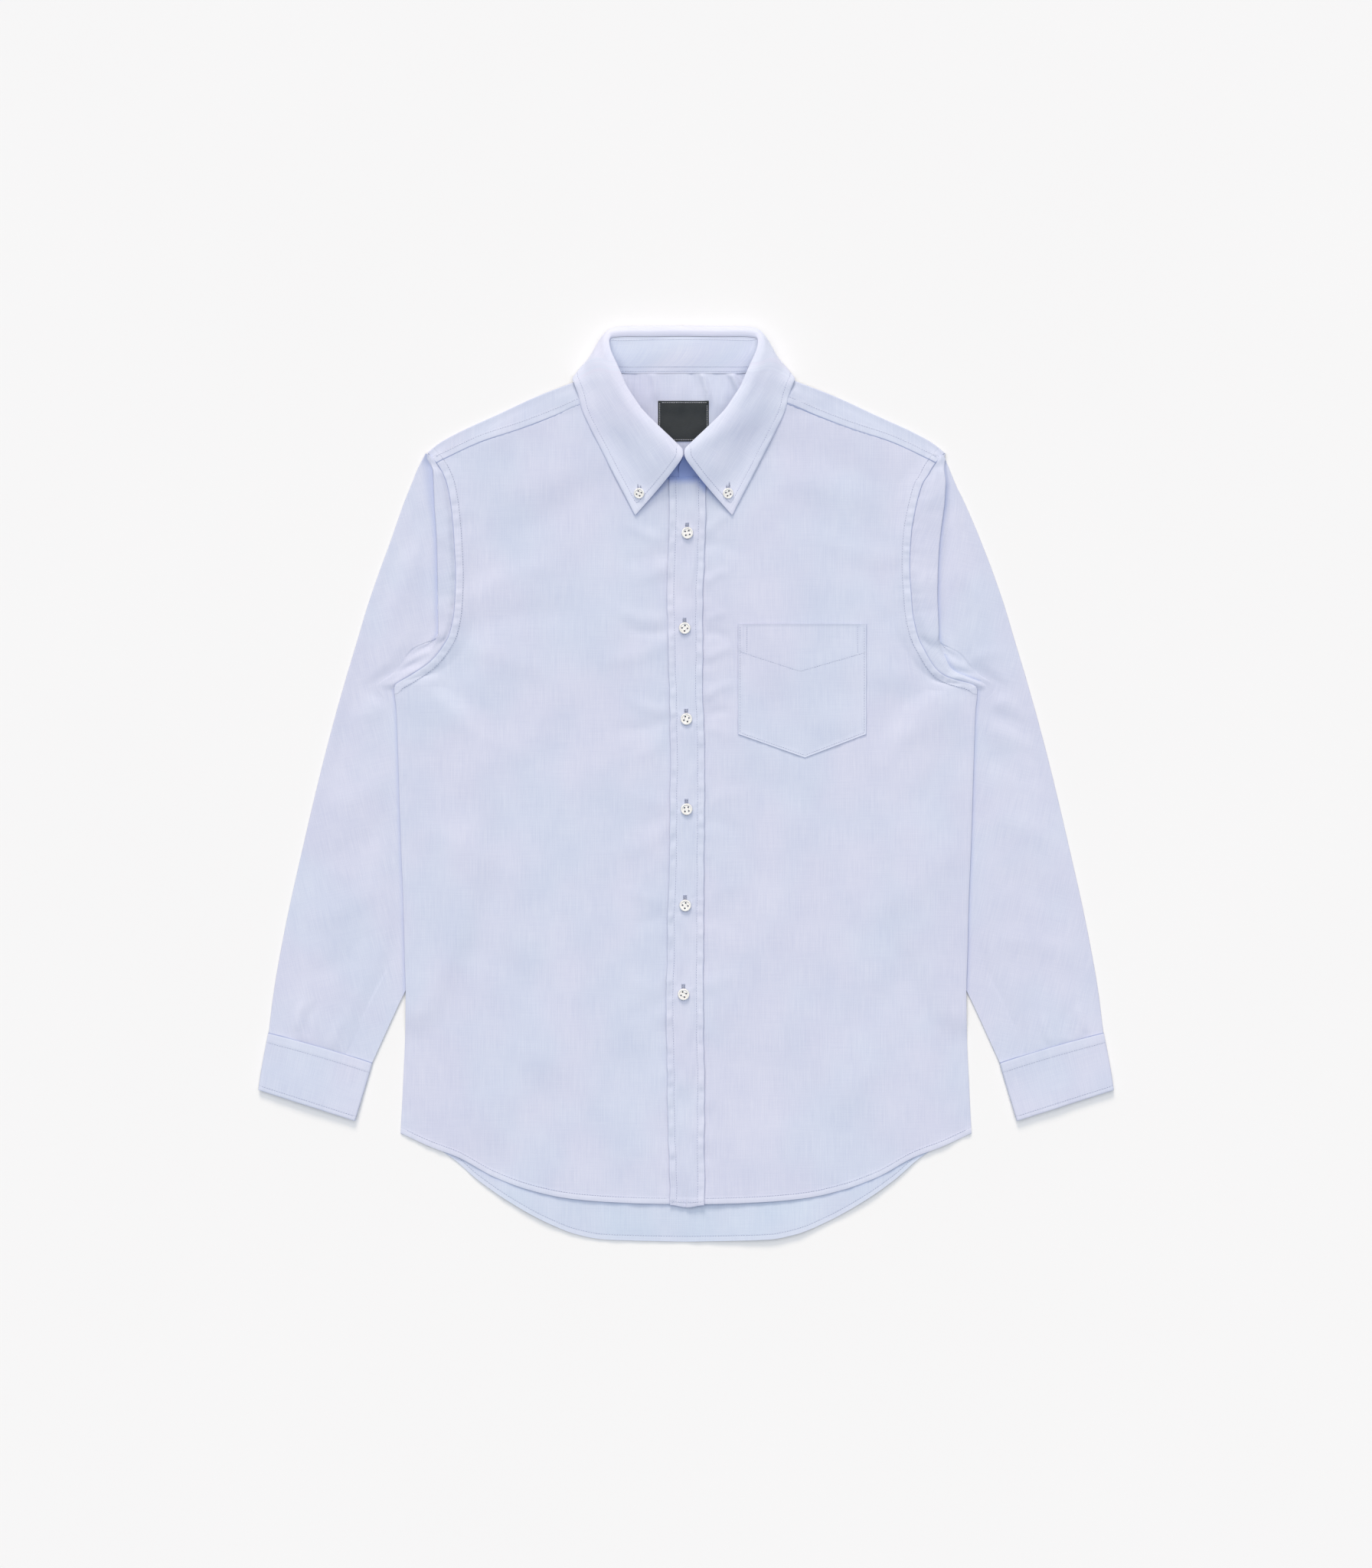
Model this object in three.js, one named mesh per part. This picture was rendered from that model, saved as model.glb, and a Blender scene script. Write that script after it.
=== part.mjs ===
import * as THREE from 'three';

// A long sleeve dress shirt laid flat on its back, with its collar closed.
// Millimetres. X runs across the shirt, Y from hem to collar, Z up from the surface it lies on.
// Left and right are the wearer's, so the left side lies at +X.

// Walls and clearances
const CLOTH = 1.0;
const COLLAR_WALL = 1.4;
const CUFF_WALL = 1.4;
const SEAM_GAP = 0.45;
const LAYER_GAP = 0.45;
const YOKE_GAP = 0.75;

// Heights of the middle of each flattened layer above the surface
const LAYER_STEP = CLOTH + LAYER_GAP;
const LOW = CLOTH / 2;
const HIGH = LOW + LAYER_STEP;
const ON_TOP = CLOTH + 0.3;

// Body
const CENTRE_OVERLAP = 13;
const ARMPIT_Y = 94;
const BACK_SEAM_Y = 300;
const FRONT_TIP_Y = 310;
const SHOULDER_TIP = { x: 250, y: 320 };
const CROWN = { height: 1.5, fromSide: 90, fromFold: 26 };
const NECK_RISE = { height: 1.5, width: 42, slope: 0.7, fadeFrom: 90, fade: 30 };
const ARMHOLE_RISE = { height: 2 * LAYER_STEP, width: 24, fromY: 92, ramp: 4, fromFold: 12 };
const SLEEVE_LIFT = { height: 2 * LAYER_STEP, ramp: 30, margin: 24, fade: 24 };
const COLLAR_LIFT = { height: 1.9, halfWidth: 120, fade: 40, fromY: 356, ramp: 22 };
const NECK_END_X = 88;
const PACKED_STEP = 0.55;

// Sleeve, cuff and label
const SLEEVE_BULGE = { height: 1.2, beyondSide: 16, beyondPleat: 4, ramp: 22, fromFold: 30 };
const CUFF_HOLLOW = 1.0;
const LABEL_GAP = 0.35;

// Collar
const COLLAR_SHIFT = -2.3;
const COLLAR_SHIFT_FADE = 60;
const BAND_RISE = 0.6;
const ROLL_RISE = 2.4;
const ROLL_OUT = 5.5;
const ROLL_UP = 3.8;

// Side seam from the hem corner up to the armpit, then the armhole up to the shoulder tip
const bodySide = [
  { y: -337, x: 275.7 },
  { y: -290, x: 273.2 },
  { y: -235, x: 271.0 },
  { y: -200, x: 270.6 },
  { y: -165, x: 271.6 },
  { y: -120, x: 272.6 },
  { y: -60, x: 275.0 },
  { y: 20, x: 277.6 },
  { y: 70, x: 279.4 },
  { y: 94, x: 281.6 },
  { y: 106, x: 264.5 },
  { y: 118, x: 247.4 },
  { y: 131, x: 236.4 },
  { y: 145, x: 228.6 },
  { y: 170, x: 223.8 },
  { y: 200, x: 222.5 },
  { y: 235, x: 224.0 },
  { y: 270, x: 227.2 },
  { y: 290, x: 231.0 },
  { y: 300, x: 234.8 },
  { y: 310, x: 241.0 },
  { y: 320, x: 250.0 },
];

// Lower edges, by distance from the middle
const frontHem = [
  { x: 0, y: -405.9 },
  { x: 40, y: -405.2 },
  { x: 80, y: -403.4 },
  { x: 115, y: -400.0 },
  { x: 150, y: -392.4 },
  { x: 185, y: -379.6 },
  { x: 220, y: -360.6 },
  { x: 248, y: -350.0 },
  { x: 277, y: -336.5 },
];
const backHem = [
  { x: 0, y: -442.2 },
  { x: 40, y: -441.4 },
  { x: 80, y: -440.0 },
  { x: 106, y: -435.0 },
  { x: 135, y: -423.4 },
  { x: 172, y: -402.8 },
  { x: 201, y: -382.6 },
  { x: 227, y: -360.5 },
  { x: 250, y: -347.0 },
  { x: 277, y: -337.2 },
];

// Top of the front panels: the neckline out to the yoke, then the forward yoke seam
const frontTop = [
  { x: 0, y: 287.6 },
  { x: 18, y: 290.8 },
  { x: 38, y: 303.4 },
  { x: 58, y: 321.2 },
  { x: 73, y: 338.8 },
  { x: 82, y: 355.0 },
  { x: 88, y: 370.4 },
  { x: 103, y: 365.3 },
  { x: 126.5, y: 355.2 },
  { x: 160, y: 342.4 },
  { x: 200, y: 329.2 },
  { x: 222, y: 319.2 },
  { x: 241, y: 309.6 },
  { x: 250, y: 304.0 },
];

// Fold of the yoke over the shoulder
const shoulderFold = [
  { x: 60, y: 405.5 },
  { x: 80, y: 399.6 },
  { x: 107, y: 388.5 },
  { x: 145, y: 373.7 },
  { x: 183, y: 356.2 },
  { x: 222, y: 338.2 },
  { x: 238, y: 329.2 },
  { x: 250, y: 319.6 },
];

// How far the yoke runs, along the cloth, before the neckline cuts it off
const yokeNeck = [
  { x: 0, run: 395.9 },
  { x: 60, run: 395.9 },
  { x: 66, run: 396.8 },
  { x: 71, run: 398.2 },
  { x: 76, run: 400.6 },
  { x: 81, run: 402.0 },
  { x: 85, run: 403.0 },
  { x: 87.6, run: 480.0 },
];

// Sleeve stations from the cap down to the cuff; fold is how far the armhole pleat reaches
// out from the seam, tuck where it turns back again, and pleat tells whether it is folded.
const sleeveStations = [
  { outerX: 252.6, outerY: 316.0, innerY: 314.5, fold: 3, tuck: 5, pleat: 0 },
  { outerX: 259.0, outerY: 304.5, innerY: 300, fold: 9.5, tuck: 4, pleat: 1 },
  { outerX: 264.8, outerY: 290.0, innerY: 290, fold: 12.5, tuck: 3, pleat: 1 },
  { outerX: 272.8, outerY: 270.0, innerY: 270, fold: 15.5, tuck: 3, pleat: 1 },
  { outerX: 285.0, outerY: 235.0, innerY: 235, fold: 16.5, tuck: 3, pleat: 1 },
  { outerX: 297.8, outerY: 200.0, innerY: 200, fold: 17.2, tuck: 3, pleat: 1 },
  { outerX: 308.0, outerY: 170.0, innerY: 170, fold: 15.5, tuck: 3, pleat: 1 },
  { outerX: 315.4, outerY: 145.0, innerY: 145, fold: 10.5, tuck: 4, pleat: 1 },
  { outerX: 319.6, outerY: 131.0, innerY: 131, fold: 10, tuck: 26, pleat: 0 },
  { outerX: 323.5, outerY: 118.0, innerY: 118, fold: 10, tuck: 26, pleat: 0 },
  { outerX: 327.2, outerY: 106.0, innerY: 106, fold: 9, tuck: 18, pleat: 0 },
  { outerX: 330.6, outerY: 94.0, innerY: 94, fold: 8, tuck: 16, pleat: 0 },
  { outerX: 337.4, outerY: 70.0, innerX: 252.0, innerY: 70, fold: 10, tuck: 26, pleat: 0 },
  { outerX: 350.6, outerY: 20.0, innerX: 228.0, innerY: 20, fold: 10, tuck: 26, pleat: 0 },
  { outerX: 369.6, outerY: -60.0, innerX: 228.0, innerY: -66, fold: 10, tuck: 26, pleat: 0 },
  { outerX: 387.2, outerY: -140.0, innerX: 249.0, innerY: -152, fold: 10, tuck: 26, pleat: 0 },
  { outerX: 398.2, outerY: -202.0, innerX: 279.0, innerY: -216, fold: 10, tuck: 26, pleat: 0 },
  { outerX: 403.0, outerY: -240.4, innerX: 303.2, innerY: -269.2, fold: 10, tuck: 26, pleat: 0 },
];
const FIRST_FREE_STATION = 11;

// Cuff, from its seam to its lower edge
const cuffStations = [
  { outerX: 403.2, outerY: -240.9, innerX: 303.5, innerY: -269.7 },
  { outerX: 406.8, outerY: -259.5, innerX: 309.0, innerY: -288.5 },
  { outerX: 410.0, outerY: -277.5, innerX: 314.6, innerY: -307.0 },
  { outerX: 412.6, outerY: -295.3, innerX: 320.0, innerY: -325.0 },
];

// Collar sections from the back of the neck to the front edge. Each runs from the neck seam
// up the stand to the leaf seam, over the roll, and down the leaf to its edge.
const collarColumns = [
  'neckX', 'neckY', 'neckZ', 'seamX', 'seamY', 'seamZ', 'turnX', 'turnY', 'turnZ',
  'lieX', 'lieY', 'lieZ', 'edgeX', 'edgeY', 'edgeZ',
];
const collarSections = [
  [0, 396.8, 3.0, 0, 431.7, 12.6, 0, 441.6, 8.0, 0, 430.0, 0.9, 0, 390.0, 0.7],
  [30, 396.8, 3.0, 31, 431.3, 12.9, 32.5, 441.4, 8.2, 34, 430.0, 0.9, 36, 390.0, 0.7],
  [56, 396.9, 3.0, 63, 431.0, 13.6, 65, 440.2, 8.8, 66, 428.0, 0.9, 66, 389.5, 0.7],
  [68, 398.6, 3.2, 71.4, 427.4, 16.2, 77.5, 432.6, 10.5, 80, 420.0, 1.4, 86, 389.0, 0.7],
  [76, 400.2, 4.2, 71.0, 415.6, 19.4, 85, 418.8, 13.4, 92, 409.0, 3.0, 101, 392.0, 1.2],
  [81, 396.0, 5.4, 66.0, 403.0, 21.5, 85, 408.5, 18.0, 98, 402.0, 8.0, 107, 391.6, 5.4],
  [85, 386.0, 6.0, 62.0, 393.5, 23.0, 81, 396.0, 21.0, 94, 391.5, 13.0, 105, 385.5, 8.6],
  [86.5, 374.0, 6.0, 57.0, 382.0, 23.5, 75, 382.4, 22.0, 89, 378.6, 13.0, 101, 374.0, 7.6],
  [82, 358.0, 6.0, 49.5, 370.0, 24.0, 68, 368.0, 22.5, 84, 363.6, 13.0, 97.2, 359.5, 6.6],
  [73, 341.5, 6.0, 41.5, 358.5, 24.0, 59.5, 352.0, 22.5, 76, 345.8, 12.5, 88.5, 341.0, 6.2],
  [58, 323.5, 6.0, 31.5, 348.0, 24.0, 49, 337.5, 22.5, 65, 328.0, 12.0, 77.7, 320.0, 6.0],
  [38, 305.5, 6.0, 21.0, 338.0, 23.6, 38, 323.0, 22.0, 54.5, 310.0, 11.6, 67.6, 300.0, 6.0],
  [18, 293.8, 6.0, 10.4, 328.4, 22.8, 26, 309.5, 21.0, 42.5, 293.0, 11.2, 57, 279.8, 6.0],
  [1.4, 290.4, 6.0, 1.2, 319.6, 22.0, 11.5, 300.5, 19.5, 27, 282.0, 11.0, 46.7, 259.8, 6.0],
];
const COLLAR_ROWS = 33;

// Placket, pocket and label
const placketEdges = [
  { y: -406.6, left: -15.2, right: 17.6 },
  { y: -381, left: -15.6, right: 17.7 },
  { y: -352, left: -16.6, right: 17.5 },
  { y: -322, left: -17.4, right: 17.7 },
  { y: -292, left: -17.7, right: 17.6 },
  { y: -248, left: -18.4, right: 16.8 },
  { y: -218, left: -19.0, right: 16.6 },
  { y: -189, left: -18.4, right: 16.4 },
  { y: -159, left: -17.8, right: 16.9 },
  { y: -115, left: -17.2, right: 16.8 },
  { y: -70, left: -15.6, right: 17.1 },
  { y: -26, left: -15.4, right: 17.6 },
  { y: 18, left: -14.9, right: 17.7 },
  { y: 63, left: -15.2, right: 17.0 },
  { y: 92, left: -15.9, right: 15.8 },
  { y: 129, left: -16.7, right: 16.0 },
  { y: 152, left: -17.4, right: 15.8 },
  { y: 181, left: -18.3, right: 16.1 },
  { y: 211, left: -17.4, right: 17.3 },
  { y: 236, left: -16.4, right: 18.0 },
  { y: 262, left: -15.6, right: 18.7 },
  { y: 287.4, left: -16.2, right: 19.0 },
];
const POCKET = { left: 50.3, right: 174.2, top: 154.4, side: 48.2, point: 25.4, pointX: 114.8 };
const LABEL = { left: -27, right: 22, bottom: 331, top: 370, wall: 1.0 };

// Buttons
const BUTTON = { radius: 5.7, height: 2.6, rim: 0.9, dish: 0.7 };
const COLLAR_BUTTON = { radius: 5.2, height: 2.4, rim: 0.8, dish: 0.6 };
const BUTTON_SIDES = 16;
const BUTTON_LIFT = 0.35;
const COLLAR_BUTTON_LIFT = 0.5;
const placketButtons = [
  { x: 1.3, y: 242.3 },
  { x: -1.2, y: 150.4 },
  { x: 0.4, y: 62.7 },
  { x: 0.6, y: -24.4 },
  { x: -0.7, y: -117.3 },
  { x: -2.3, y: -203.1 },
];
const COLLAR_BUTTON_AT = { x: 42.6, y: 280.6 };

const clamp01 = (value) => Math.min(1, Math.max(0, value));

const smooth = (value) => {
  const t = clamp01(value);
  return t * t * (3 - 2 * t);
};

const mix = (a, b, t) => a + (b - a) * t;

// Value of one column of a table at a place along its key, joined by straight lines
function read(table, key, column, at) {
  const last = table.length - 1;
  if (at <= table[0][key]) return table[0][column];
  if (at >= table[last][key]) return table[last][column];
  const i = table.findIndex((row) => row[key] > at) - 1;
  const t = (at - table[i][key]) / (table[i + 1][key] - table[i][key]);
  return mix(table[i][column], table[i + 1][column], t);
}

const sideX = (y) => read(bodySide, 'y', 'x', y);
const foldY = (x) => read(shoulderFold, 'x', 'y', Math.abs(x));

// Distance from the middle, measured from the collar's own middle near the neck
function neckX(x) {
  const nearNeck = 1 - smooth((Math.abs(x) - NECK_END_X) / COLLAR_SHIFT_FADE);
  return Math.abs(x - COLLAR_SHIFT * nearNeck);
}

const frontTopY = (x) => read(frontTop, 'x', 'y', neckX(x));

// Inner edge of the sleeve where it lies under the body
function sleeveInnerX(y) {
  const rows = sleeveStations.slice(FIRST_FREE_STATION);
  const table = rows.map((row) => ({ y: -row.innerY, x: row.innerX ?? sideX(row.innerY) }));
  return read(table, 'y', 'x', -y);
}

// How far the sleeve underneath lifts the body
function sleeveLift(x, y) {
  const { height, ramp, margin, fade } = SLEEVE_LIFT;
  const innerX = sleeveInnerX(y);
  const across = smooth((Math.abs(x) - innerX + margin + ramp) / ramp);
  const above = 1 - smooth((y - ARMPIT_Y) / fade);
  const below = smooth((sideX(y) - innerX + margin) / (ramp / 2));
  return height * across * above * below;
}

// How far the collar folded underneath lifts the yoke
function collarLift(x, y) {
  const { height, halfWidth, fade, fromY, ramp } = COLLAR_LIFT;
  const across = 1 - smooth((Math.abs(x) - halfWidth) / fade);
  return height * across * smooth((y - fromY) / ramp);
}

const lowerZ = (x, y) => LOW + sleeveLift(x, y) + collarLift(x, y);

// How far the neckline is drawn up towards the collar
function neckRise(x, y) {
  const { height, width, slope, fadeFrom, fade } = NECK_RISE;
  const distance = Math.abs(y - frontTopY(x)) * slope;
  return height * (1 - smooth((neckX(x) - fadeFrom) / fade)) * smooth(1 - distance / width);
}

// How far the seam allowances and the pleat lift the body beside the armhole
function armholeRise(x, y) {
  const { height, width, fromY, ramp, fromFold } = ARMHOLE_RISE;
  const beside = smooth(1 - (sideX(y) - Math.abs(x)) / width) * smooth((y - fromY) / ramp);
  return Math.max(0, height * beside * smooth((foldY(x) - y) / fromFold) - sleeveLift(x, y));
}

// Middle of the upper layer of the body: fronts and the forward part of the yoke
function upperZ(x, y) {
  const fromSide = sideX(y) - Math.abs(x);
  const fromFold = foldY(x) - y;
  const crown = CROWN.height * smooth(fromSide / CROWN.fromSide) * smooth(fromFold / CROWN.fromFold);
  return lowerZ(x, y) + LAYER_STEP + crown + Math.max(neckRise(x, y), armholeRise(x, y));
}

// A closed wall of cloth about a grid of middle points, pressed flat where it meets the
// surface below; a closed sheet joins its last column to its first one.
function clothWall(rows, wall, closed = false) {
  const rowCount = rows.length;
  const colCount = rows[0].length;
  const wrap = (j) => (closed ? (j + colCount) % colCount : Math.min(colCount - 1, Math.max(0, j)));
  const outer = [];
  const inner = [];
  const positions = [];
  const addPoint = ({ x, y, z }) => positions.push(x, y, Math.max(0, z));
  for (let i = 0; i < rowCount; i += 1) {
    outer.push([]);
    inner.push([]);
    for (let j = 0; j < colCount; j += 1) {
      const across = rows[i][wrap(j + 1)].clone().sub(rows[i][wrap(j - 1)]);
      const along = rows[Math.min(rowCount - 1, i + 1)][j].clone().sub(rows[Math.max(0, i - 1)][j]);
      const normal = across.cross(along).normalize().multiplyScalar(wall / 2);
      outer[i].push(positions.length / 3);
      addPoint(rows[i][j].clone().add(normal));
      inner[i].push(positions.length / 3);
      addPoint(rows[i][j].clone().sub(normal));
    }
  }
  const index = [];
  const quad = (a, b, c, d) => index.push(a, b, c, a, c, d);
  const spans = closed ? colCount : colCount - 1;
  for (let i = 0; i < rowCount - 1; i += 1) {
    for (let j = 0; j < spans; j += 1) {
      const k = wrap(j + 1);
      quad(outer[i][j], outer[i][k], outer[i + 1][k], outer[i + 1][j]);
      quad(inner[i][k], inner[i][j], inner[i + 1][j], inner[i + 1][k]);
    }
  }
  const end = rowCount - 1;
  for (let j = 0; j < spans; j += 1) {
    const k = wrap(j + 1);
    quad(outer[0][k], outer[0][j], inner[0][j], inner[0][k]);
    quad(outer[end][j], outer[end][k], inner[end][k], inner[end][j]);
  }
  if (!closed) {
    const side = colCount - 1;
    for (let i = 0; i < end; i += 1) {
      quad(outer[i][0], outer[i + 1][0], inner[i + 1][0], inner[i][0]);
      quad(outer[i + 1][side], outer[i][side], inner[i][side], inner[i + 1][side]);
    }
  }
  const geometry = new THREE.BufferGeometry();
  geometry.setAttribute('position', new THREE.Float32BufferAttribute(positions, 3));
  geometry.setIndex(index);
  return geometry;
}

const grid = (rowKeys, colKeys, point) => rowKeys.map((v) => colKeys.map((u) => point(u, v)));

const evenSteps = (from, to, count) => (
  Array.from({ length: count + 1 }, (_, i) => mix(from, to, i / count))
);

// Shares of the half width, closer together over the sleeve
const acrossHalf = [0, 0.17, 0.34, 0.5, 0.62, 0.7, 0.74, 0.78, 0.82, 0.86, 0.9, 0.93, 0.965, 1];
const acrossFull = [...acrossHalf.slice(1).reverse().map((u) => -u), ...acrossHalf];

// Back panel, from its hem to the back yoke seam
function backPanel() {
  const levels = bodySide.map((row) => row.y).filter((y) => y <= BACK_SEAM_Y);
  const first = levels[0];
  const shares = levels.map((y) => (y - first) / (BACK_SEAM_Y - first));
  const point = (u, v) => {
    const hemX = Math.abs(u) * sideX(first);
    const y = mix(read(backHem, 'x', 'y', hemX), BACK_SEAM_Y, v);
    const x = u * sideX(y);
    return new THREE.Vector3(x, y, lowerZ(x, y));
  };
  return clothWall(grid(shares, acrossFull, point), CLOTH);
}

// Front panel; side is +1 for the wearer's left and -1 for the right, which runs on under
// the placket.
function frontPanel(side) {
  const start = side > 0 ? CENTRE_OVERLAP + SEAM_GAP : -CENTRE_OVERLAP;
  const levels = bodySide.map((row) => row.y).filter((y) => y <= FRONT_TIP_Y);
  const first = levels[0];
  const shares = levels.map((y) => (y - first) / (levels[levels.length - 1] - first));
  const place = (u, y) => (u === 0 ? start : u * sideX(y));
  const point = (u, v) => {
    const hemY = read(frontHem, 'x', 'y', Math.abs(place(u, first)));
    let topY = BACK_SEAM_Y;
    for (let pass = 0; pass < 12; pass += 1) topY = frontTopY(side * place(u, topY));
    const y = mix(hemY, topY, v);
    const x = side * place(u, y);
    return new THREE.Vector3(x, y, upperZ(x, y));
  };
  const neckShares = frontTop.slice(1, 7).map((row) => (
    (row.x + side * COLLAR_SHIFT + 0.4) / sideX(row.y)
  ));
  const columns = [0, ...neckShares, 0.42, ...acrossHalf.filter((u) => u >= 0.5)];
  return clothWall(grid(shares, columns, point), CLOTH);
}

// One section of the yoke at a share of the half width: along the back, round the shoulder
// fold and down to the forward seam, or cut off sooner by the neckline.
function yokeSection(u) {
  const tip = Math.abs(u) * SHOULDER_TIP.x;
  const fold = foldY(tip);
  const place = (y) => u * sideX(Math.min(y, SHOULDER_TIP.y));
  const seam = (y) => read(frontTop, 'x', 'y', Math.max(NECK_END_X, neckX(place(y)))) + YOKE_GAP;
  let seamY = fold - 20;
  for (let pass = 0; pass < 12; pass += 1) seamY = seam(seamY);
  const bottom = lowerZ(place(fold), fold);
  const radius = (upperZ(place(fold), fold) - bottom) / 2;
  const bend = (Math.PI * radius) / 2;
  const straightY = fold - radius;
  const runEnd = fold + bend + straightY - seamY;
  const lower = [0, 0.3, 0.6, 0.85, 1].map((t) => mix(BACK_SEAM_Y + SEAM_GAP, fold - bend, t));
  const turns = [-0.66, -0.22, 0.22, 0.66].map((t) => fold + bend * t);
  const upper = [0, 0.12, 0.34, 0.67, 1].map((t) => mix(fold + bend, runEnd, t));
  const runs = [...lower, ...turns, ...upper];
  const across = neckX(place(SHOULDER_TIP.y));
  const stop = Math.min(runEnd, read(yokeNeck, 'x', 'run', across));
  return runs.map((run, i) => {
    const at = Math.min(run, stop - (runs.length - 1 - i) * PACKED_STEP);
    const pastFold = at - fold;
    if (Math.abs(pastFold) < bend) {
      const angle = pastFold / radius;
      const y = straightY + radius * Math.cos(angle);
      return new THREE.Vector3(place(y), y, bottom + radius * (1 + Math.sin(angle)));
    }
    const y = straightY - (Math.abs(pastFold) - bend);
    const x = place(y);
    return new THREE.Vector3(x, y, pastFold < 0 ? lowerZ(x, y) : upperZ(x, y));
  });
}

function yoke() {
  const besideNeck = yokeNeck.slice(1).map((row) => row.x);
  const nearHalf = [0, 30, ...besideNeck, 94].map((x) => x / SHOULDER_TIP.x);
  const farHalf = [0.43, 0.52, 0.64, 0.76, 0.86, 0.93, 0.97, 1];
  const shift = COLLAR_SHIFT / SHOULDER_TIP.x;
  const half = (side) => [...nearHalf.map((u) => side * u + shift), ...farHalf.map((u) => side * u)];
  return clothWall([...half(-1).reverse(), ...half(1).slice(1)].map(yokeSection), CLOTH);
}

// Points of a half turn in a section, from one height to another at a reach across
function halfTurn(reach, fromZ, toZ, outward) {
  const radius = Math.abs(toZ - fromZ) / 2;
  const middle = (fromZ + toZ) / 2;
  const down = Math.sign(toZ - fromZ);
  return [-45, 0, 45].map((degrees) => {
    const angle = THREE.MathUtils.degToRad(degrees);
    return [
      reach - outward * radius * (1 - Math.cos(angle)),
      middle + down * radius * Math.sin(angle),
    ];
  });
}

// One section of a sleeve: from the front armhole seam, through the pleat beside it, out to
// the outer fold and back along the surface to the back armhole seam.
function sleeveSection(station, side) {
  const innerX = (station.innerX ?? sideX(station.innerY) + SEAM_GAP);
  const inner = new THREE.Vector2(innerX, station.innerY);
  const outer = new THREE.Vector2(station.outerX, station.outerY);
  const width = inner.distanceTo(outer);
  const pleat = station.pleat;
  const top = HIGH + 2 * LAYER_STEP * pleat;
  const middle = HIGH + LAYER_STEP * pleat;
  const r = LAYER_STEP / 2;
  const { fold, tuck } = station;
  const strip = [[0, top], [fold / 2, top], [fold - r, top]];
  const flatPleat = [0.15, 0.3, 0.45, 0.6, 0.7, 0.8, 0.9, 1].map((t) => (
    [mix(fold - r, tuck + r, t), HIGH]
  ));
  const foldedPleat = [
    ...halfTurn(fold, top, middle, 1),
    [fold - r, middle],
    [tuck + r, middle],
    ...halfTurn(tuck, middle, HIGH, -1),
  ];
  const bulge = (reach) => {
    const x = mix(inner.x, outer.x, reach / width);
    const y = mix(inner.y, outer.y, reach / width);
    const { height, beyondSide, beyondPleat, ramp, fromFold } = SLEEVE_BULGE;
    const beyond = y < ARMPIT_Y ? x - sideX(y) - beyondSide : reach - fold - beyondPleat;
    return height * smooth(beyond / ramp) * smooth((width - reach) / fromFold);
  };
  const mainFrom = tuck + r + 1;
  const main = [0, 0.16, 0.38, 0.62, 0.84, 1].map((t) => {
    const reach = mix(mainFrom, width - r, t);
    return [reach, HIGH + bulge(reach)];
  });
  const back = [0, 0.33, 0.67, 1].map((t) => [mix(width - r, 0, t), LOW]);
  const outline = [
    ...strip,
    ...(pleat ? foldedPleat : flatPleat),
    ...main,
    ...halfTurn(width, HIGH, LOW, 1),
    ...back,
  ];
  return outline.map(([reach, z]) => {
    const at = inner.clone().lerp(outer, reach / width);
    return new THREE.Vector3(side * at.x, at.y, z);
  });
}

const sleeve = (side) => clothWall(
  sleeveStations.map((station) => sleeveSection(station, side)),
  CLOTH,
);

// Cuff: a flattened ring
function cuff(side) {
  const low = CUFF_WALL / 2;
  const high = low + CUFF_WALL + CUFF_HOLLOW;
  const r = (high - low) / 2;
  const rings = cuffStations.map((station) => {
    const inner = new THREE.Vector2(station.innerX, station.innerY);
    const outer = new THREE.Vector2(station.outerX, station.outerY);
    const width = inner.distanceTo(outer);
    const outline = [
      ...[0, 0.2, 0.4, 0.6, 0.8, 1].map((t) => [mix(r, width - r, t), high]),
      ...halfTurn(width, high, low, 1),
      ...[0, 0.33, 0.67, 1].map((t) => [mix(width - r, r, t), low]),
      ...halfTurn(0, low, high, -1),
    ];
    return outline.map(([reach, z]) => {
      const at = inner.clone().lerp(outer, reach / width);
      return new THREE.Vector3(side * at.x, at.y, z);
    });
  });
  return clothWall(rings, CUFF_WALL, true);
}

// Smooth collar section at a share of the way round one half; side is -1 or +1
function collarCurve(share, side) {
  const last = collarSections.length - 1;
  const at = clamp01(share) * last;
  const i = Math.min(last - 1, Math.floor(at));
  const named = {};
  collarColumns.forEach((column, k) => {
    const [a, b, c, d] = [i - 1, i, i + 1, i + 2].map((n) => (
      collarSections[Math.min(last, Math.max(0, n))][k]
    ));
    const t = at - i;
    const first = i === 0 ? (column.endsWith('X') ? b - (c - b) : c) : a;
    named[column] = 0.5 * (2 * b + (c - first) * t + (2 * first - 5 * b + 4 * c - d) * t * t
      + (3 * b - first - 3 * c + d) * t * t * t);
  });
  const spot = (name) => new THREE.Vector3(
    COLLAR_SHIFT + side * named[`${name}X`],
    named[`${name}Y`],
    named[`${name}Z`],
  );
  const neck = spot('neck');
  const seam = spot('seam');
  const turn = spot('turn');
  const lie = spot('lie');
  const edge = spot('edge');
  const band = neck.clone().lerp(seam, 0.5);
  band.z += BAND_RISE;
  const rising = seam.clone().sub(band).normalize();
  const top = seam.clone().addScaledVector(rising, ROLL_RISE);
  top.z += ROLL_RISE / 2;
  const outward = turn.clone().sub(seam).setZ(0).normalize();
  const crown = seam.clone().addScaledVector(outward, ROLL_OUT);
  crown.z += ROLL_UP;
  return new THREE.CatmullRomCurve3([neck, band, seam, top, crown, turn, lie, edge], false, 'centripetal');
}

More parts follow.
